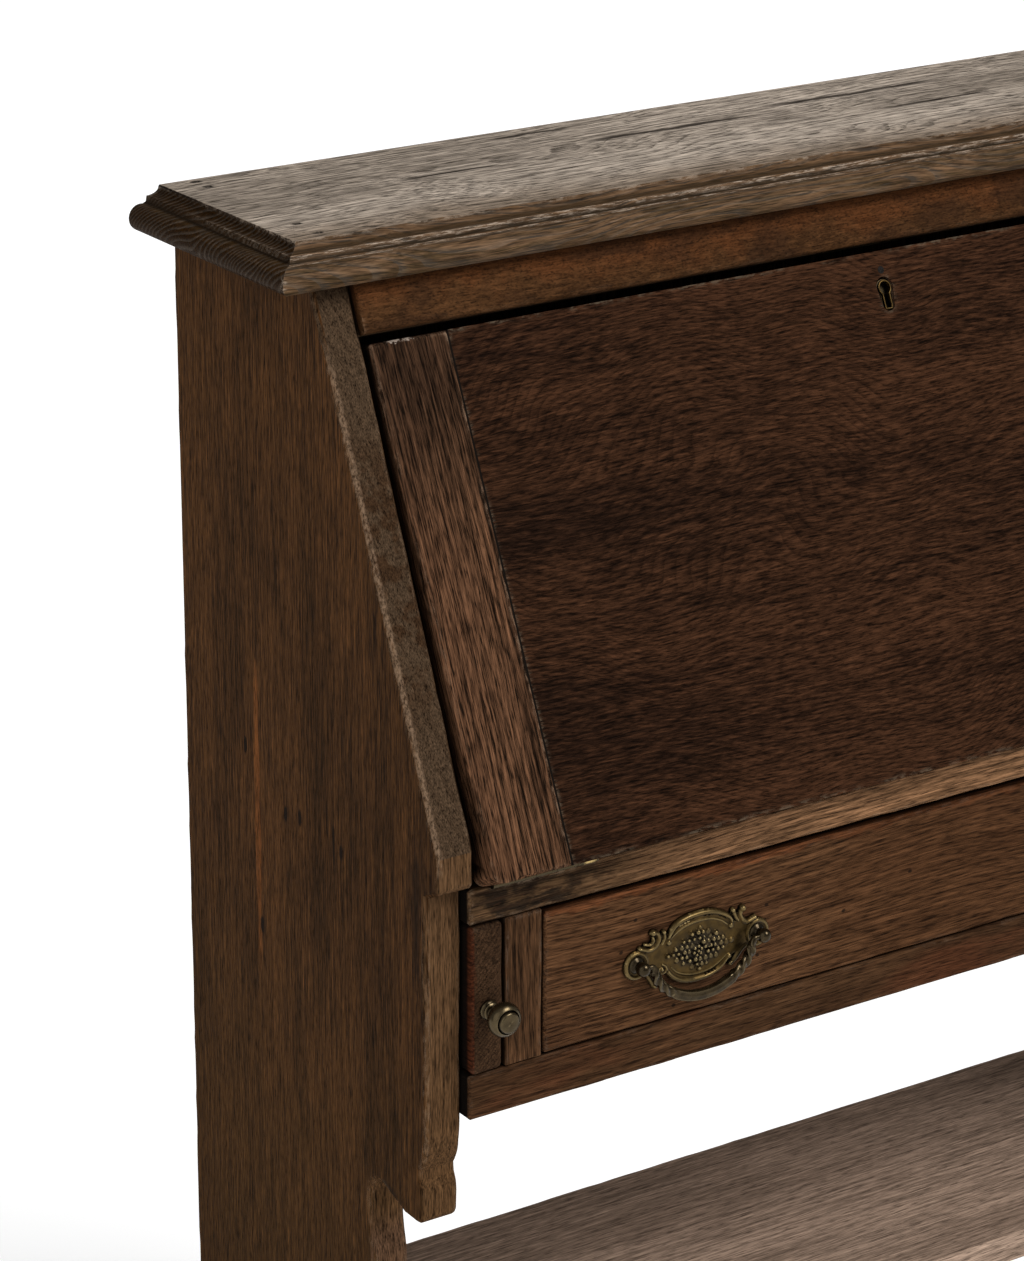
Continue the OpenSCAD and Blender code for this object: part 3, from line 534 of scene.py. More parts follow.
def post_profile(ball):
    """Collar, bulb and neck of a pull's post, ending in its ball: (radius, distance out) in mm."""
    ball_r = 3.9
    shaft = [(2.2, 0.2), (4.6, 0.6), (4.9, 1.2), (4.6, 1.8), (3.9, 2.5), (3.0, 3.1), (2.4, 3.6), (2.3, 4.1)]
    start = math.asin(2.3 / ball_r)
    arc = [(ball_r * math.sin(a), ball - ball_r * math.cos(a)) for a in np.linspace(start, math.pi - 0.02, 22)]
    return shaft + arc


def pull_posts(side, sign):
    low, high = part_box("pull_posts_" + side)
    face_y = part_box("drawer_front")[0].y
    centre_x, centre_z = (low.x + high.x) / 2, (low.z + high.z) / 2
    ball = (face_y - low.y) / MM - 3.9
    verts, faces = [], []
    for end in SIDES.values():
        at = (centre_x + end * POST_U * MM, face_y, centre_z)
        made, sides = lathe(post_profile(ball), at, (0, -1, 0), 40)
        faces += [tuple(i + len(verts) for i in f) for f in sides]
        verts += made
    add_mesh("pull_posts_%s_turned" % side, verts, faces, "drawer", BRASS_BALL, "pull_posts_" + side)


def bail(side, sign):
    """The hanging handle: pins, twisted arms and a flat-faced band with fine ridges."""
    low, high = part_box("bail_" + side)
    centre_x = (low.x + high.x) / 2
    axis = next(j for j in frame["joints"] if j["name"] == side + "_bail_swing")["pos_m"]
    end_x, end_r, low_r = 31.0, 18.0, 37.4
    depth = (axis[2] - low.z) / MM - 3.1
    low_y = low_r - depth
    turn = math.atan2(end_x - end_r, low_y)
    path = [(-41.2, 0), (-38, 0), (-34, 0), (-32.2, -0.2)]
    for a in np.linspace(math.radians(8), math.pi / 2 - turn, 14):
        path.append((-(end_x - end_r) - end_r * math.cos(a), -end_r * math.sin(a)))
    for a in np.linspace(-math.pi / 2 - turn, -math.pi / 2 + turn, 44)[1:-1]:
        path.append((low_r * math.cos(a), low_y + low_r * math.sin(a)))
    path = path + [(-x, y) for x, y in reversed(path[:18])]
    line = smooth_line(path, 4)
    steps = np.r_[0, np.cumsum(np.hypot(*np.diff(line, axis=0).T))]
    total = steps[-1]
    sides = 32
    verts, faces = [], []
    for i, (x, y) in enumerate(line):
        before, after = line[max(i - 1, 0)], line[min(i + 1, len(line) - 1)]
        tangent = (after - before) / np.hypot(*(after - before))
        outward = np.array([tangent[1], -tangent[0]])
        s = min(steps[i], total - steps[i])
        arm = min(1.0, max(0.0, (s - 8.5) / 6))
        flat = min(1.0, max(0.0, (s - 25) / 10))
        wide = 1.45 + 1.05 * arm + 0.45 * flat
        thick = 1.45 + 0.85 * arm - 0.1 * flat
        twist = 0.2 * arm * (1 - flat)
        for k in range(sides):
            angle = math.tau * k / sides
            ridge = 1 + twist * math.cos(3 * angle + s * 1.05)
            fine = 1 + 0.05 * flat * math.cos(8 * angle)
            square = (abs(math.cos(angle)) ** 2.8 + abs(math.sin(angle)) ** 2.8) ** (-1 / 2.8)
            radius = ridge * fine * (1 + (square - 1) * flat)
            across = wide * radius * math.cos(angle)
            front = thick * radius * math.sin(angle)
            px = x + outward[0] * across
            pz = y + outward[1] * across
            verts.append((centre_x + px * MM, axis[1] - front * MM, axis[2] + pz * MM))
    for i in range(len(line) - 1):
        for k in range(sides):
            a, b = i * sides + k, i * sides + (k + 1) % sides
            faces.append((a, a + sides, b + sides, b))
    faces.append(tuple(range(sides)))
    faces.append(tuple(reversed(range((len(line) - 1) * sides, len(line) * sides))))
    add_mesh("bail_%s_cast" % side, verts, faces, side + "_bail", BRASS_BALL, "bail_" + side)


KNOB_PROFILE = [(0.4, -13.5), (1.7, -12.5), (1.7, -0.2), (5.0, 0), (5.3, 0.7), (5.1, 1.5), (4.5, 2.0), (4.2, 2.3),
                (4.5, 2.9), (4.5, 3.4), (4.0, 3.9), (3.3, 4.2), (3.2, 4.6), (3.5, 5.0), (3.4, 5.5), (3.0, 6.1),
                (2.8, 7.0), (3.1, 7.9), (4.2, 8.6), (6.2, 9.3), (7.7, 10.5), (8.7, 12.1), (9.1, 14.1), (8.9, 15.9),
                (8.2, 17.2), (7.2, 18.1), (6.6, 18.4), (6.2, 18.2), (6.05, 17.9), (5.8, 18.2), (5.65, 19.1),
                (5.3, 19.8), (4.6, 20.2), (2.0, 20.4), (0.3, 20.35), (0.02, 20.1)]


def knob(side, sign):
    low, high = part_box("loper_knob_" + side)
    centre = ((low.x + high.x) / 2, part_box("loper_" + side)[0].y, (low.z + high.z) / 2)
    verts, faces = lathe(KNOB_PROFILE, centre, (0, -1, 0), 64)
    add_mesh("loper_knob_%s_turned" % side, verts, faces, side + "_loper", BRASS_BALL, "loper_knob_" + side)


def keyhole_ring(grow, count=56):
    """Points around the keyhole's outline, grown outward by some mm: (across, up)."""
    top, foot, r, half = 3.8, -5.2, 3.3, 1.75
    points = []
    for i in range(count):
        angle = math.tau * i / count
        direction = np.array([math.sin(angle), math.cos(angle)])
        best = 0.0
        for step in np.arange(0.2, 14, 0.04):
            p = direction * step
            ring = math.hypot(p[0], p[1] - top) - r
            slot = max(abs(p[0]) - half, foot - 1.7 - p[1], p[1] - top)
            if min(ring, slot) < grow:
                best = step
        points.append(direction * best)
    return points


def escutcheon():
    """The keyhole's liner: a thin rubbed lip in a dark sunk bed."""
    low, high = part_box("escutcheon")
    out = Vector((0, -math.cos(LEAN), math.sin(LEAN)))
    up = Vector((0, math.sin(LEAN), math.cos(LEAN)))
    middle = (Vector(low) + Vector(high)) / 2
    surface = PIVOT + out * 0.020
    centre = middle - out * (middle - surface).dot(out) - up * 0.0005
    rows = [(0.0, -3.4), (0.0, -0.4), (0.12, 0.0), (0.45, 0.12), (0.8, 0.0), (0.95, -0.5), (1.1, -1.1),
            (1.5, -1.2), (1.6, -3.4)]
    verts, faces = [], []
    count = 56
    rings = {grow: keyhole_ring(grow, count) for grow, _ in rows}
    for grow, height in rows:
        for across, rise in rings[grow]:
            verts.append(centre + Vector((across * MM, 0, 0)) + up * (rise * MM) + out * (height * MM))
    total = len(rows)
    for row in range(total):
        nxt = (row + 1) % total
        for i in range(count):
            j = (i + 1) % count
            faces.append((row * count + i, nxt * count + i, nxt * count + j, row * count + j))
    add_mesh("escutcheon_liner", verts, faces, "fall", BRASS, "escutcheon")


# ---- Materials ----

TOP_LO, TOP_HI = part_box("top_board")
SIDE_LO, SIDE_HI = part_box("side_left")
RAIL_LO, RAIL_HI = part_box("front_rail")
FRONT_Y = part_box("drawer_front")[0].y
RAIL_END = -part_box("top_rail")[0].x

WORN_GREY = (0.17, 0.12, 0.085)
BLACK = (0.006, 0.0045, 0.0035)


def facing(index, sign, start=0.5, end=0.75):
    """Where the surface faces along one axis."""
    def mask(s):
        normal = s.node("NewGeometry").outputs["True Normal"]
        return s.band(s.math("MULTIPLY", s.axis(index, normal), sign), start, end)
    return mask


def end_shadow(front, depth=0.0018):
    """Painted shadow with some dirt: black on a rail's end faces in the gap beside the side, from a little behind its
    front.
    """
    def mask(s):
        deep = s.band(s.axis(1), front + depth - 0.0006, front + depth + 0.0006)
        out = s.math("ABSOLUTE", s.axis(0))
        return s.math("MULTIPLY", s.band(out, RAIL_END - 0.0012, RAIL_END - 0.0006), deep)
    return mask


def slope_face(s):
    """The slanted edge of a side."""
    return s.math("MULTIPLY", facing(2, 1, 0.2, 0.35)(s), s.past(2, 0.7, 0.71))


def slope_arris_wear_and_highlight(s):
    """The rubbed outer arris of a side's slanted edge: pale wear with a painted highlight along it."""
    normal = s.node("NewGeometry").outputs["Normal"]
    ahead = s.math("MULTIPLY", s.axis(1, normal), -math.cos(LEAN))
    ahead = s.math("ADD", ahead, s.math("MULTIPLY", s.axis(2, normal), math.sin(LEAN)))
    outer = s.band(s.math("ABSOLUTE", s.axis(0)), -SIDE_LO.x - 0.0042, -SIDE_LO.x - 0.002)
    broken = s.band(s.noise(s.stretch(s.spot_place, (1, 1, 0.35)), 760.0, 4.0, 0.75), 0.4, 0.62)
    reach = s.math("MULTIPLY", s.past(2, 0.725, 0.74), s.past(2, 0.975, 0.95, 0.03))
    return s.product(outer, s.band(ahead, 0.2, 0.75), broken, reach)


def slope_mottle(s):
    """The darker, browner blotches in the middle of the slanted edge."""
    middle = s.math("MULTIPLY", s.past(2, 0.78, 0.84, 0.02), s.past(2, 0.95, 0.9, 0.02))
    return s.product(slope_face(s), middle, s.band(s.noise(s.spot_place, 70.0, 3.0, 0.6), 0.42, 0.56))


ARCH_Y = SIDE_LO.y + 0.054
streak_y = SIDE_HI.y - 0.075
side_tones = [
    (facing(1, -1), (0.084, 0.044, 0.02), 1.0),
    (lambda s: s.math("MULTIPLY", facing(1, -1)(s), s.past(2, 0.52, 0.5)), (0.088, 0.049, 0.031), 1.0),
    (slope_face, (0.056, 0.0345, 0.0195), 1.0),
    (slope_mottle, (0.034, 0.0165, 0.0075), 0.85),
    (lambda s: s.spot((SIDE_LO.x, streak_y, 0.706), (0.03, 0.0035, 0.1), 0.5, 30), (0.15, 0.052, 0.014), 0.7),
    (lambda s: s.spot((SIDE_LO.x, ARCH_Y - 0.001, 0.526), (0.012, 0.006, 0.009), 0.6, 60), (0.1, 0.029, 0.011), 0.7),
    (lambda s: s.past(2, 0.7, 0.45, 0.1, 6), (0.062, 0.0295, 0.0093), 0.5),
    (lambda s: s.past(1, SIDE_HI.y - 0.05, SIDE_HI.y + 0.01, 0.05, 12), (0.058, 0.025, 0.008), 0.4),
]
side_patches = [(lambda s, y=y, z=z: s.spot((SIDE_LO.x, y - 0.10325, z), (0.03, 0.0022, 0.006), 0.4, 300), BLACK, 0.9)
                for y, z in ((0.172, 0.738), (0.132, 0.713), (0.078, 0.711), (0.158, 0.642), (0.118, 0.716))]
side_patches.append((lambda s: s.spot((SIDE_LO.x, 0.085 - 0.10325, 0.711), (0.03, 0.0016, 0.016), 0.4, 200), BLACK, 0.8))
side_patches.append((lambda s: s.spot((SIDE_LO.x, SIDE_LO.y + 0.0195, 0.7), (0.03, 0.0045, 0.05), 0.8, 60), BLACK, 0.55))
side_patches.append((lambda s: s.spot((SIDE_LO.x, ARCH_Y - 0.005, 0.5385), (0.03, 0.012, 0.006), 0.6, 60), BLACK, 0.5))
side_patches.append((slope_arris_wear_and_highlight, (0.25, 0.16, 0.1), 0.65))
SIDE_TONES = ((0.0255, 0.0118, 0.0045), (0.071, 0.0305, 0.0103), (0.011, 0.0055, 0.0028))
OAK_SIDE = oak("oak_side", "z", *SIDE_TONES, 1.3, ring=7, wander=16, rings=0.25, fine=1.5, worn=1.0,
               worn_tone=(0.3, 0.2, 0.13), tones=side_tones, patches=side_patches)
MOULD_W = 0.0185


def mould_out(s):
    """How far a point lies outside the flat of the top board, in metres."""
    front = s.math("SUBTRACT", TOP_LO.y + MOULD_W, s.axis(1))
    end = s.math("SUBTRACT", s.math("ABSOLUTE", s.axis(0)), TOP_HI.x - MOULD_W)
    return s.math("MAXIMUM", front, end)


def mould_band(start, end, soft=0.0005, front=None, ragged=(0.0, 1.0), stretch=(0.06, 0.06, 1)):
    """A strip of the top's moulding between two distances out. front: True for the front only,
    False for the ends only. ragged is the noise's band, which breaks the strip up."""
    def mask(s):
        out = mould_out(s)
        strip = s.math("MULTIPLY", s.band(out, start - soft, start + soft), s.band(out, end + soft, end - soft))
        if front is not None:
            ahead = s.math("SUBTRACT", TOP_LO.y + MOULD_W, s.axis(1))
            beside = s.math("SUBTRACT", s.math("ABSOLUTE", s.axis(0)), TOP_HI.x - MOULD_W)
            gap = s.math("SUBTRACT", ahead, beside)
            strip = s.math("MULTIPLY", strip, s.band(gap, *((-0.0003, 0.0003) if front else (0.0003, -0.0003))))
        if ragged[0] > 0:
            broken = s.noise(s.stretch(s.spot_place, stretch), 900.0, 5.0, 0.75)
            strip = s.math("MULTIPLY", strip, s.band(broken, *ragged))
        return strip
    return mask


def line_patch(x, y, half_length, half_width=0.0007, tilt=0.0):
    """A long thin crack along X on the top board, near x, y."""
    def mask(s):
        along = s.math("SUBTRACT", s.axis(0), x)
        wander = s.math("SUBTRACT", s.noise(s.spot_place, 25.0, 4.0, 0.6), 0.5)
        across = s.math("SUBTRACT", s.math("SUBTRACT", s.axis(1), y), s.math("MULTIPLY", along, tilt))
        across = s.math("ABSOLUTE", s.math("ADD", across, s.math("MULTIPLY", wander, 0.008)))
        ends = s.band(s.math("ABSOLUTE", along), half_length, half_length * 0.6)
        return s.math("MULTIPLY", s.band(across, half_width * 1.6, half_width * 0.5), ends)
    return mask


NAIL_VERTS = [v.co for v in frame["nodes"]["top_nails"].data.vertices]
NAIL_YS = sorted({round(co.y, 5) for co in NAIL_VERTS})
NAIL_ROWS = [(a + b) / 2 for a, b in zip(NAIL_YS[::2], NAIL_YS[1::2])]
NAIL_X = (SIDE_LO.x + SIDE_HI.x) / 2
CRACKS = [(-0.06, 0.087, 0.062, 0.0018), (0.073, 0.1, 0.07, 0.0021), (0.1, 0.062, 0.042, 0.0016),
          (-0.21, 0.071, 0.035, 0.0014), (0.24, 0.03, 0.05, 0.0018), (-0.13, 0.118, 0.03, 0.0015)]
# Pale rubbed wear with a painted highlight on the moulding's ridges.
MOULD_WEAR_AND_HIGHLIGHT = (0.55, 0.44, 0.34)
top_tones = [
    (lambda s: s.past(1, TOP_LO.y + 0.06, TOP_LO.y + 0.015, 0.02, 30), (0.2, 0.14, 0.092), 0.75),
    (mould_band(0.0006, 0.1, 0.0004, True), (0.1, 0.055, 0.027), 0.95),
    (mould_band(0.0115, 0.1, 0.002, True, (0.42, 0.6), (0.03, 0.5, 0.5)), (0.045, 0.028, 0.0125), 0.85),
    (mould_band(0.0006, 0.1, 0.0004, False), (0.0185, 0.0078, 0.0016), 1.0),
    (mould_band(0.0098, 0.0135, 0.0015, False), (0.031, 0.0158, 0.0045), 0.8),
]
top_patches = [
    # Painted shade with dirt in the moulding's cove and in the dark lines of its grooves, front and ends.
    (mould_band(0.0026, 0.0066, 0.0008, True), (0.03, 0.018, 0.008), 0.7),
    (mould_band(0.0083, 0.0096, 0.0003, True), (0.02, 0.013, 0.007), 0.9),
    (mould_band(0.0083, 0.0098, 0.0006, False), (0.018, 0.011, 0.006), 0.8),
    # The moulding's ridges: pale wear with painted highlight.
    (mould_band(0.0072, 0.0083, 0.0004, True, (0.49, 0.6), (0.1, 1, 1)), MOULD_WEAR_AND_HIGHLIGHT, 0.75),
    (mould_band(0.0098, 0.0125, 0.0007, True, (0.5, 0.6), (0.1, 1, 1)), MOULD_WEAR_AND_HIGHLIGHT, 0.75),
] + [(lambda s, x=side * NAIL_X, y=y: s.spot((x, y, TOP_HI.z), (0.004, 0.0028, 0.01), 0.5, 400),
      (0.022, 0.018, 0.015), 0.85) for side in (1, -1) for y in NAIL_ROWS
     ] + [(line_patch(x, y, half, width), (0.02, 0.014, 0.01), 0.9) for x, y, half, width in CRACKS]
OAK_TOP = oak("oak_top", "x", (0.245, 0.2, 0.158), (0.45, 0.375, 0.305), (0.05, 0.038, 0.028), 2.1, ring=5,
              wander=22, rings=0.3, wave=(4.0, 1.6), flow=8, fibre=0.85, pores=0.9, gather=0.16, dash=0.06,
              worn=0.7, worn_tone=(0.42, 0.33, 0.25), gloss=0.55, sheen=0.02, tones=top_tones,
              patches=top_patches, relief=0.8)
rail_tones = [
    (lambda s: s.past(0, RAIL_LO.x + 0.16, RAIL_LO.x + 0.05, 0.03), (0.06, 0.034, 0.016), 0.85),
    (lambda s: s.math("MULTIPLY", s.past(0, RAIL_LO.x + 0.13, RAIL_LO.x + 0.05, 0.03),
                      s.band(s.noise(s.stretch(s.spot_place, (0.35, 1, 1)), 110.0, 4.0, 0.65), 0.43, 0.58)),
     (0.01, 0.007, 0.005), 0.9),
]
OAK_RAIL = oak("oak_rail", "x", (0.14, 0.072, 0.0345), (0.27, 0.14, 0.069), (0.045, 0.022, 0.012), 3.7,
               ring=5, wander=10, rings=0.25, pores=0.6, worn=0.7, worn_tone=(0.3, 0.21, 0.14), tones=rail_tones,
               patches=[(end_shadow(RAIL_LO.y), BLACK, 1.0)])
LOW_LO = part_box("bottom_rail")[0]
low_rail_tones = [(lambda s: s.band(s.noise(s.stretch(s.spot_place, (0.3, 1, 1)), 30.0, 3.0), 0.5, 0.65),
                   (0.085, 0.028, 0.012), 0.5)]
OAK_LOW_RAIL = oak("oak_low_rail", "x", (0.035, 0.0162, 0.0074), (0.067, 0.0325, 0.0146), (0.012, 0.006, 0.0035),
                   4.4, ring=8, rings=0.25, fibre=0.7, worn=0.5, worn_tone=WORN_GREY, tones=low_rail_tones,
                   patches=[(end_shadow(LOW_LO.y), BLACK, 1.0)])
OAK_STILE = oak("oak_stile", "z", (0.031, 0.0148, 0.0068), (0.065, 0.031, 0.0142), (0.012, 0.007, 0.004), 5.2,
                rings=0.25, worn=0.5, worn_tone=WORN_GREY)
LOPER_LO, LOPER_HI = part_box("loper_left")
LOPER_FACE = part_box("loper_left")[0].y
loper_tones = [(lambda s: s.math("MULTIPLY", facing(0, -1)(s), s.past(1, LOPER_FACE + 0.012, LOPER_FACE + 0.006)),
                (0.06, 0.015, 0.006), 0.8)]
# Painted shadow with some dirt on the loper's left face in the gap behind the side: black from about 3.5 mm behind its
# front.
loper_gap_shadow = [(lambda s: s.product(s.past(0, LOPER_LO.x + 0.002, LOPER_LO.x + 0.001),
                                      s.past(1, LOPER_FACE + 0.0035, LOPER_FACE + 0.006),
                                      s.past(1, LOPER_FACE + 0.022, LOPER_FACE + 0.012)), BLACK, 0.95)]
OAK_LOPER = oak("oak_loper", "y", (0.022, 0.0112, 0.0058), (0.043, 0.0222, 0.0112), (0.01, 0.006, 0.004), 6.1,
                ring=3, wander=8, rings=0.5, fibre=0.8, worn=0.3, worn_tone=WORN_GREY, tones=loper_tones,
                patches=loper_gap_shadow)
SPECKS = [(-46.7, 8.5), (45.0, 12.7), (39.8, -14.4), (-13.3, -29.4), (44.0, 4.7), (-38.0, 24.5), (96, -3), (140, 9)]
PULL_MID = (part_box("pull_plate_left")[0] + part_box("pull_plate_left")[1]) / 2
DRAWER_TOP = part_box("drawer_front")[1].z
drawer_tones = [
    (lambda s: s.past(2, DRAWER_TOP - 0.0035, DRAWER_TOP - 0.0015, 0.006, 60), (0.12, 0.036, 0.012), 0.5),
    (lambda s: s.past(0, PULL_MID.x + 0.05, PULL_MID.x + 0.14, 0.05), (0.046, 0.0185, 0.0075), 0.5),
]
drawer_patches = [(lambda s, u=u, v=v: s.spot((PULL_MID.x + u * MM, FRONT_Y, PULL_MID.z + v * MM),
                                              (0.0016, 0.004, 0.0012), 0.4, 500), BLACK, 0.8) for u, v in SPECKS]
OAK_DRAWER = oak("oak_drawer", "x", (0.044, 0.0192, 0.0086), (0.078, 0.036, 0.0158), (0.017, 0.008, 0.0045), 7.5,
                 ring=4, wander=14, rings=0.3, wave=(3.0, 1.2), pores=0.5, worn=0.5, worn_tone=WORN_GREY,
                 tones=drawer_tones, patches=drawer_patches)
joint_patches = [(lambda s: s.band(s.math("ABSOLUTE", s.math("SUBTRACT", s.math("ABSOLUTE", s.axis(0)), JOINT_X)),
                                   0.0008, 0.0004), BLACK, 1.0)]
OAK_FALL = oak("oak_fall", "x", (0.0125, 0.0055, 0.003), (0.041, 0.017, 0.008), (0.007, 0.0035, 0.0022), 8.2,
               ring=5, wander=60, rings=0.4, wave=(2.0, 1.4), flow=6, pores=0.6, dash=0.14, fine=1.1, run=0.12, worn=0.5,
               worn_tone=(0.16, 0.12, 0.08), patches=joint_patches)
FALL_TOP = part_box("fall_end_left")[1].z
end_tones = [(lambda s: s.past(2, FALL_TOP - 0.12, FALL_TOP - 0.01, 0.03, 25), (0.024, 0.0125, 0.007), 0.75)]
end_chips = [(lambda s, x=x, half=half: s.spot((x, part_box("fall_end_left")[1].y, FALL_TOP - 0.0005), (half, 0.04, 0.0016),
                                               1.2, 700), (0.4, 0.32, 0.26), 0.7)
             for x, half in ((-0.3, 0.005), (-0.292, 0.004))]
OAK_FALL_END = oak("oak_fall_end", "slope", (0.021, 0.01, 0.0053), (0.086, 0.0405, 0.0205), (0.007, 0.0045, 0.003),
                   9.6, ring=5, wander=6, rings=0.35, fibre=1.4, pores=0.85, gather=0.12, worn=0.9,
                   worn_tone=(0.24, 0.15, 0.095), tones=end_tones, patches=joint_patches + end_chips)
RAIL_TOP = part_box("top_rail")[1].z
top_rail_tones = [(lambda s: s.past(2, RAIL_TOP - 0.02, RAIL_TOP - 0.004, 0.02, 40), (0.085, 0.029, 0.0095), 0.7),
                  (lambda s: s.band(s.noise(s.stretch(s.spot_place, (0.4, 1, 1)), 55.0, 3.0), 0.5, 0.62),
                   (0.028, 0.0125, 0.006), 0.6)]
OAK_TOP_RAIL = oak("oak_top_rail", "x", (0.033, 0.0142, 0.0055), (0.066, 0.029, 0.011), (0.012, 0.007, 0.004),
                   10.4, wander=10, rings=0.12, fibre=0.55, dash=0.45, run=0.3, worn=0.7, worn_tone=(0.17, 0.1, 0.055),
                     tones=top_rail_tones)
INSIDE = dict(rings=0.25, fibre=0.6, worn=0.3, worn_tone=(0.25, 0.18, 0.12), gloss=0.65)
INSIDE_TONES = ((0.1, 0.06, 0.033), (0.19, 0.12, 0.07), (0.04, 0.024, 0.016))
OAK_INSIDE = oak("oak_inside", "x", *INSIDE_TONES, 11.8, **INSIDE)
OAK_INSIDE_UP = oak("oak_inside_up", "z", *INSIDE_TONES, 12.6, **INSIDE)
OAK_BACK = oak("oak_back", "z", (0.05, 0.03, 0.018), (0.1, 0.062, 0.036), (0.02, 0.012, 0.008), 13.3,
               ring=9, wander=20, rings=0.3, fibre=0.7, worn=0.2, gloss=0.7)
OAK_SHELF = oak("oak_shelf", "x", (0.21, 0.145, 0.106), (0.33, 0.232, 0.172), (0.07, 0.045, 0.033), 14.9,
                wander=14, rings=0.2, fibre=0.6, worn=0.5, worn_tone=(0.4, 0.3, 0.22))
flower_patches = [(lambda s, side=side: s.spot((side * PULL_MID.x + 0.0009, FRONT_Y, PULL_MID.z), (0.021, 0.01, 0.0125),
                                               0.2, 300), (0.028, 0.021, 0.012), 0.85) for side in (1, -1)]
BRASS = brass("brass_old", patches=flower_patches)
BRASS_BALL = brass("brass_handled", base=(0.055, 0.038, 0.018), bright=(0.34, 0.26, 0.14), polish=0.25,
                   gloss=0.26)
hinge_patches = [(lambda s: s.spot((-0.2475, RAIL_LO.y, RAIL_HI.z), (0.0055, 0.004, 0.004), 0.3, 400),
                  (0.7, 0.5, 0.2), 0.9)]
BRASS_HINGE = brass("brass_hinge", base=(0.035, 0.024, 0.0115), polish=0.1, gloss=0.45, patches=hinge_patches)
IRON = brass("iron_old", base=(0.014, 0.011, 0.01), dark=(0.004, 0.0035, 0.003), bright=(0.03, 0.027, 0.024), gloss=0.7)

# node: (body, material, arris in mm, dents in mm)
BOARDS = {
    "side_left": ("carcase", OAK_SIDE, 2.0, 1.1),
    "side_right": ("carcase", OAK_SIDE, 2.0, 1.1),
    "top_board": ("carcase", OAK_TOP, 1.0, 0.8),
    "top_rail": ("carcase", OAK_TOP_RAIL, 2.2, 0.6),
    "front_rail": ("carcase", OAK_RAIL, 1.7, 1.2),
    "bottom_rail": ("carcase", OAK_LOW_RAIL, 1.4, 0.7),
    "stile_left": ("carcase", OAK_STILE, 1.1, 0.5),
    "stile_right": ("carcase", OAK_STILE, 1.1, 0.5),
    "writing_board": ("carcase", OAK_INSIDE, 0.5, 0.2),
    "back_panel": ("carcase", OAK_BACK, 0.5, 0.3),
    "partition_left": ("carcase", OAK_INSIDE, 0.4, 0.2),
    "partition_right": ("carcase", OAK_INSIDE, 0.4, 0.2),
    "drawer_guide_left": ("carcase", OAK_INSIDE, 0.6, 0.2),
    "drawer_guide_right": ("carcase", OAK_INSIDE, 0.6, 0.2),
    "runner_left": ("carcase", OAK_INSIDE, 0.6, 0.2),
    "runner_right": ("carcase", OAK_INSIDE, 0.6, 0.2),
    "bottom_back_rail": ("carcase", OAK_INSIDE, 0.8, 0.3),
    "fall_stop_left": ("carcase", OAK_INSIDE_UP, 0.6, 0.2),
    "fall_stop_right": ("carcase", OAK_INSIDE_UP, 0.6, 0.2),
    "under_shelf": ("carcase", OAK_SHELF, 1.2, 0.8),
    "pigeonhole_top": ("carcase", OAK_INSIDE, 0.8, 0.3),
    "pigeonhole_shelf": ("carcase", OAK_INSIDE, 0.8, 0.3),
    "pigeonhole_dividers": ("carcase", OAK_INSIDE_UP, 0.8, 0.3),
    "rail_block_left": ("carcase", OAK_INSIDE, 0.6, 0.2),
    "rail_block_right": ("carcase", OAK_INSIDE, 0.6, 0.2),
    "fall_panel": ("fall", OAK_FALL, 1.0, 0.5),
    "fall_end_left": ("fall", OAK_FALL_END, 1.6, 0.8),
    "fall_end_right": ("fall", OAK_FALL_END, 1.6, 0.8),
    "drawer_front": ("drawer", OAK_DRAWER, 1.9, 0.8),
    "drawer_side_left": ("drawer", OAK_INSIDE, 0.5, 0.2),
    "drawer_side_right": ("drawer", OAK_INSIDE, 0.5, 0.2),
    "drawer_back": ("drawer", OAK_INSIDE, 0.5, 0.2),
    "drawer_bottom": ("drawer", OAK_INSIDE, 0.3, 0.1),
    "loper_left": ("left_loper", OAK_LOPER, 2.4, 0.7),
    "loper_right": ("right_loper", OAK_LOPER, 2.4, 0.7),
}
for index, (node, (body, material, arris, dents)) in enumerate(BOARDS.items()):
    board(node, body, material, arris, dents, seed=3.7 * index)


NAIL_PROFILE = [(1.9, -0.6), (2.0, 0.05), (1.6, 0.35), (0.9, 0.5), (0.05, 0.55)]


def nail_head():
    """The domed nail over the keyhole."""
    out = Vector((0, -math.cos(LEAN), math.sin(LEAN)))
    up = Vector((0, math.sin(LEAN), math.cos(LEAN)))
    centre = PIVOT + out * 0.020 + up * 0.2609
    verts, faces = lathe(NAIL_PROFILE, centre, out, 24)
    add_mesh("fall_nail_head", verts, faces, "fall", IRON, None)


nail_head()
MADE = ("pull_plate_", "pull_posts_", "bail_", "loper_knob_")
for side, sign in SIDES.items():
    pull_plate(side, sign)
    pull_posts(side, sign)
    bail(side, sign)
    knob(side, sign)
    recolour("loper_peg_" + side, OAK_INSIDE_UP)
escutcheon()
recolour("top_nails", IRON)
for node in frame["nodes"]:
    if node not in BOARDS and not node.startswith(MADE + ("loper_peg_", "escutcheon", "top_nails")):
        recolour(node, BRASS_HINGE)


# ---- Stage ----

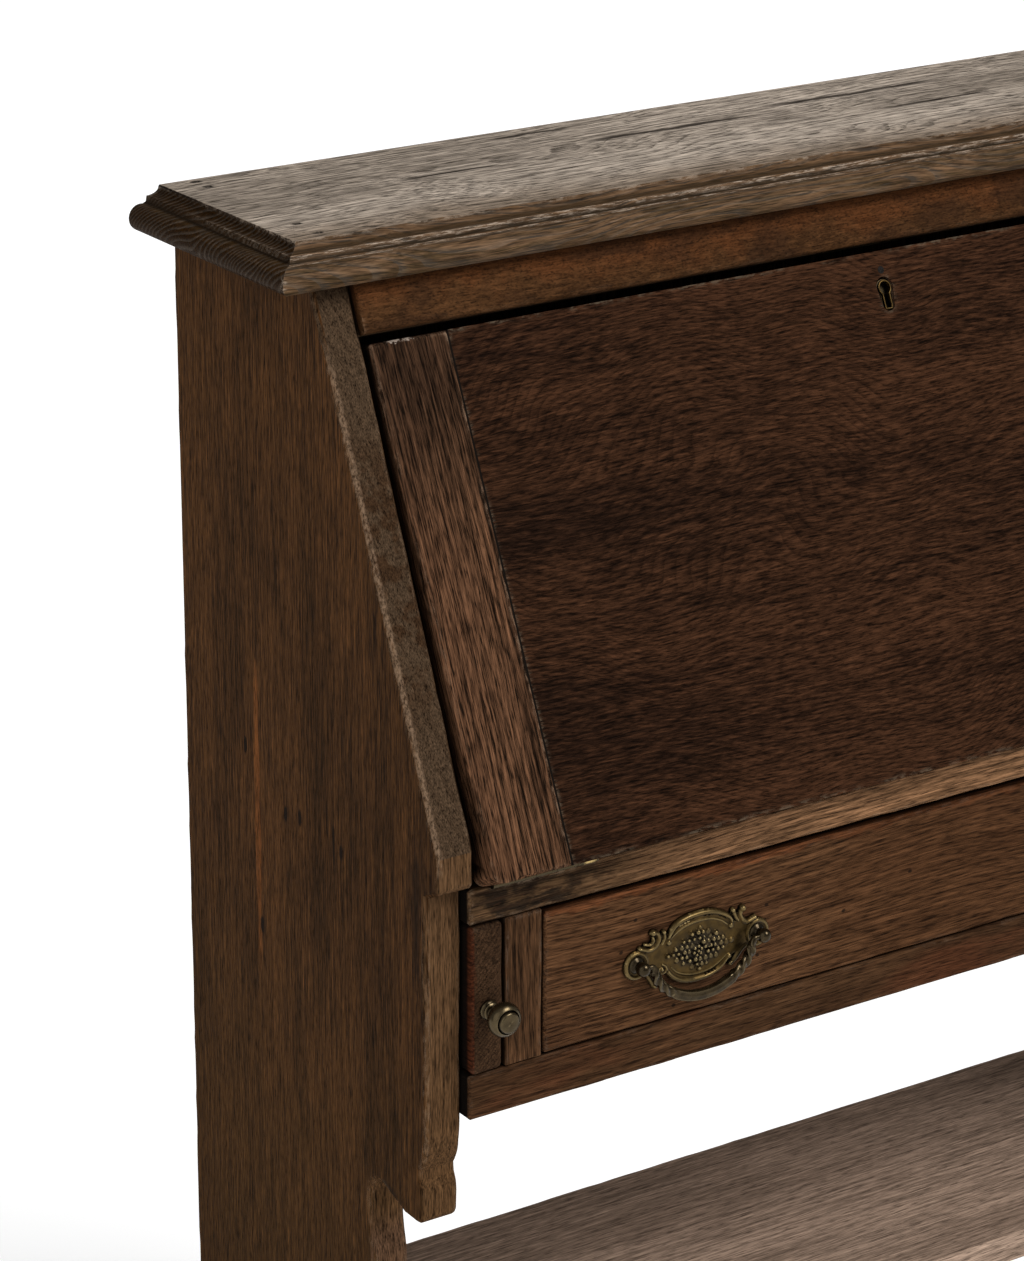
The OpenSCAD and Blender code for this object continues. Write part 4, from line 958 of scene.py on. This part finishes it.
def floor():
    mesh = bpy.data.meshes.new("floor")
    far = 40.0
    mesh.from_pydata([(-far, -far, 0), (far, -far, 0), (far, far, 0), (-far, far, 0)], [], [(0, 1, 2, 3)])
    plane = bpy.data.objects.new("floor", mesh)
    bpy.context.scene.collection.objects.link(plane)
    s = Shader("floor_pale")
    s.set(Base_Color=(0.93, 0.93, 0.93, 1), Roughness=0.9, Emission_Color=(1, 1, 1, 1), Emission_Strength=0.3)
    mesh.materials.append(s.material)


def sun(name, towards, strength, angle, colour=(1, 1, 1)):
    data = bpy.data.lights.new(name, "SUN")
    data.energy = strength
    data.angle = math.radians(angle)
    data.color = colour
    lamp = bpy.data.objects.new(name, data)
    lamp.rotation_euler = Vector(towards).to_track_quat("Z", "Y").to_euler()
    bpy.context.scene.collection.objects.link(lamp)


def camera():
    """Stands to the left of the front and looks down at the desk."""
    data = bpy.data.cameras.new("camera")
    data.lens = 122.0
    data.sensor_width = 36.0
    data.clip_end = 100.0
    eye = bpy.data.objects.new("camera", data)
    eye.location = (-1.3696, -1.71755, 1.5611)
    yaw, pitch, roll = (math.radians(a) for a in (33.81, 20.26, 0.16))
    eye.rotation_euler = (Matrix.Rotation(-yaw, 4, "Z") @ Matrix.Rotation(math.pi / 2 - pitch, 4, "X")
                          @ Matrix.Rotation(roll, 4, "Z")).to_euler()
    bpy.context.scene.collection.objects.link(eye)
    bpy.context.scene.camera = eye


def studio(dim=0.3):
    """A white backdrop that lights the desk only dimly."""
    world = bpy.data.worlds.new("studio")
    world.use_nodes = True
    tree = world.node_tree
    seen = tree.nodes.new("ShaderNodeLightPath").outputs["Is Camera Ray"]
    level = tree.nodes.new("ShaderNodeMapRange")
    tree.links.new(seen, level.inputs["Value"])
    level.inputs["To Min"].default_value = dim
    level.inputs["To Max"].default_value = 1.05
    backdrop = tree.nodes["Background"].inputs
    backdrop["Color"].default_value = (1, 1, 1, 1)
    tree.links.new(level.outputs[0], backdrop["Strength"])
    bpy.context.scene.world = world


floor()
camera()
sun("key", (0.45, -0.75, 0.85), 2.3, 25)
sun("fill", (-0.8, -0.45, 0.4), 0.7, 60)
studio()
bpy.context.scene.view_settings.view_transform = "Standard"
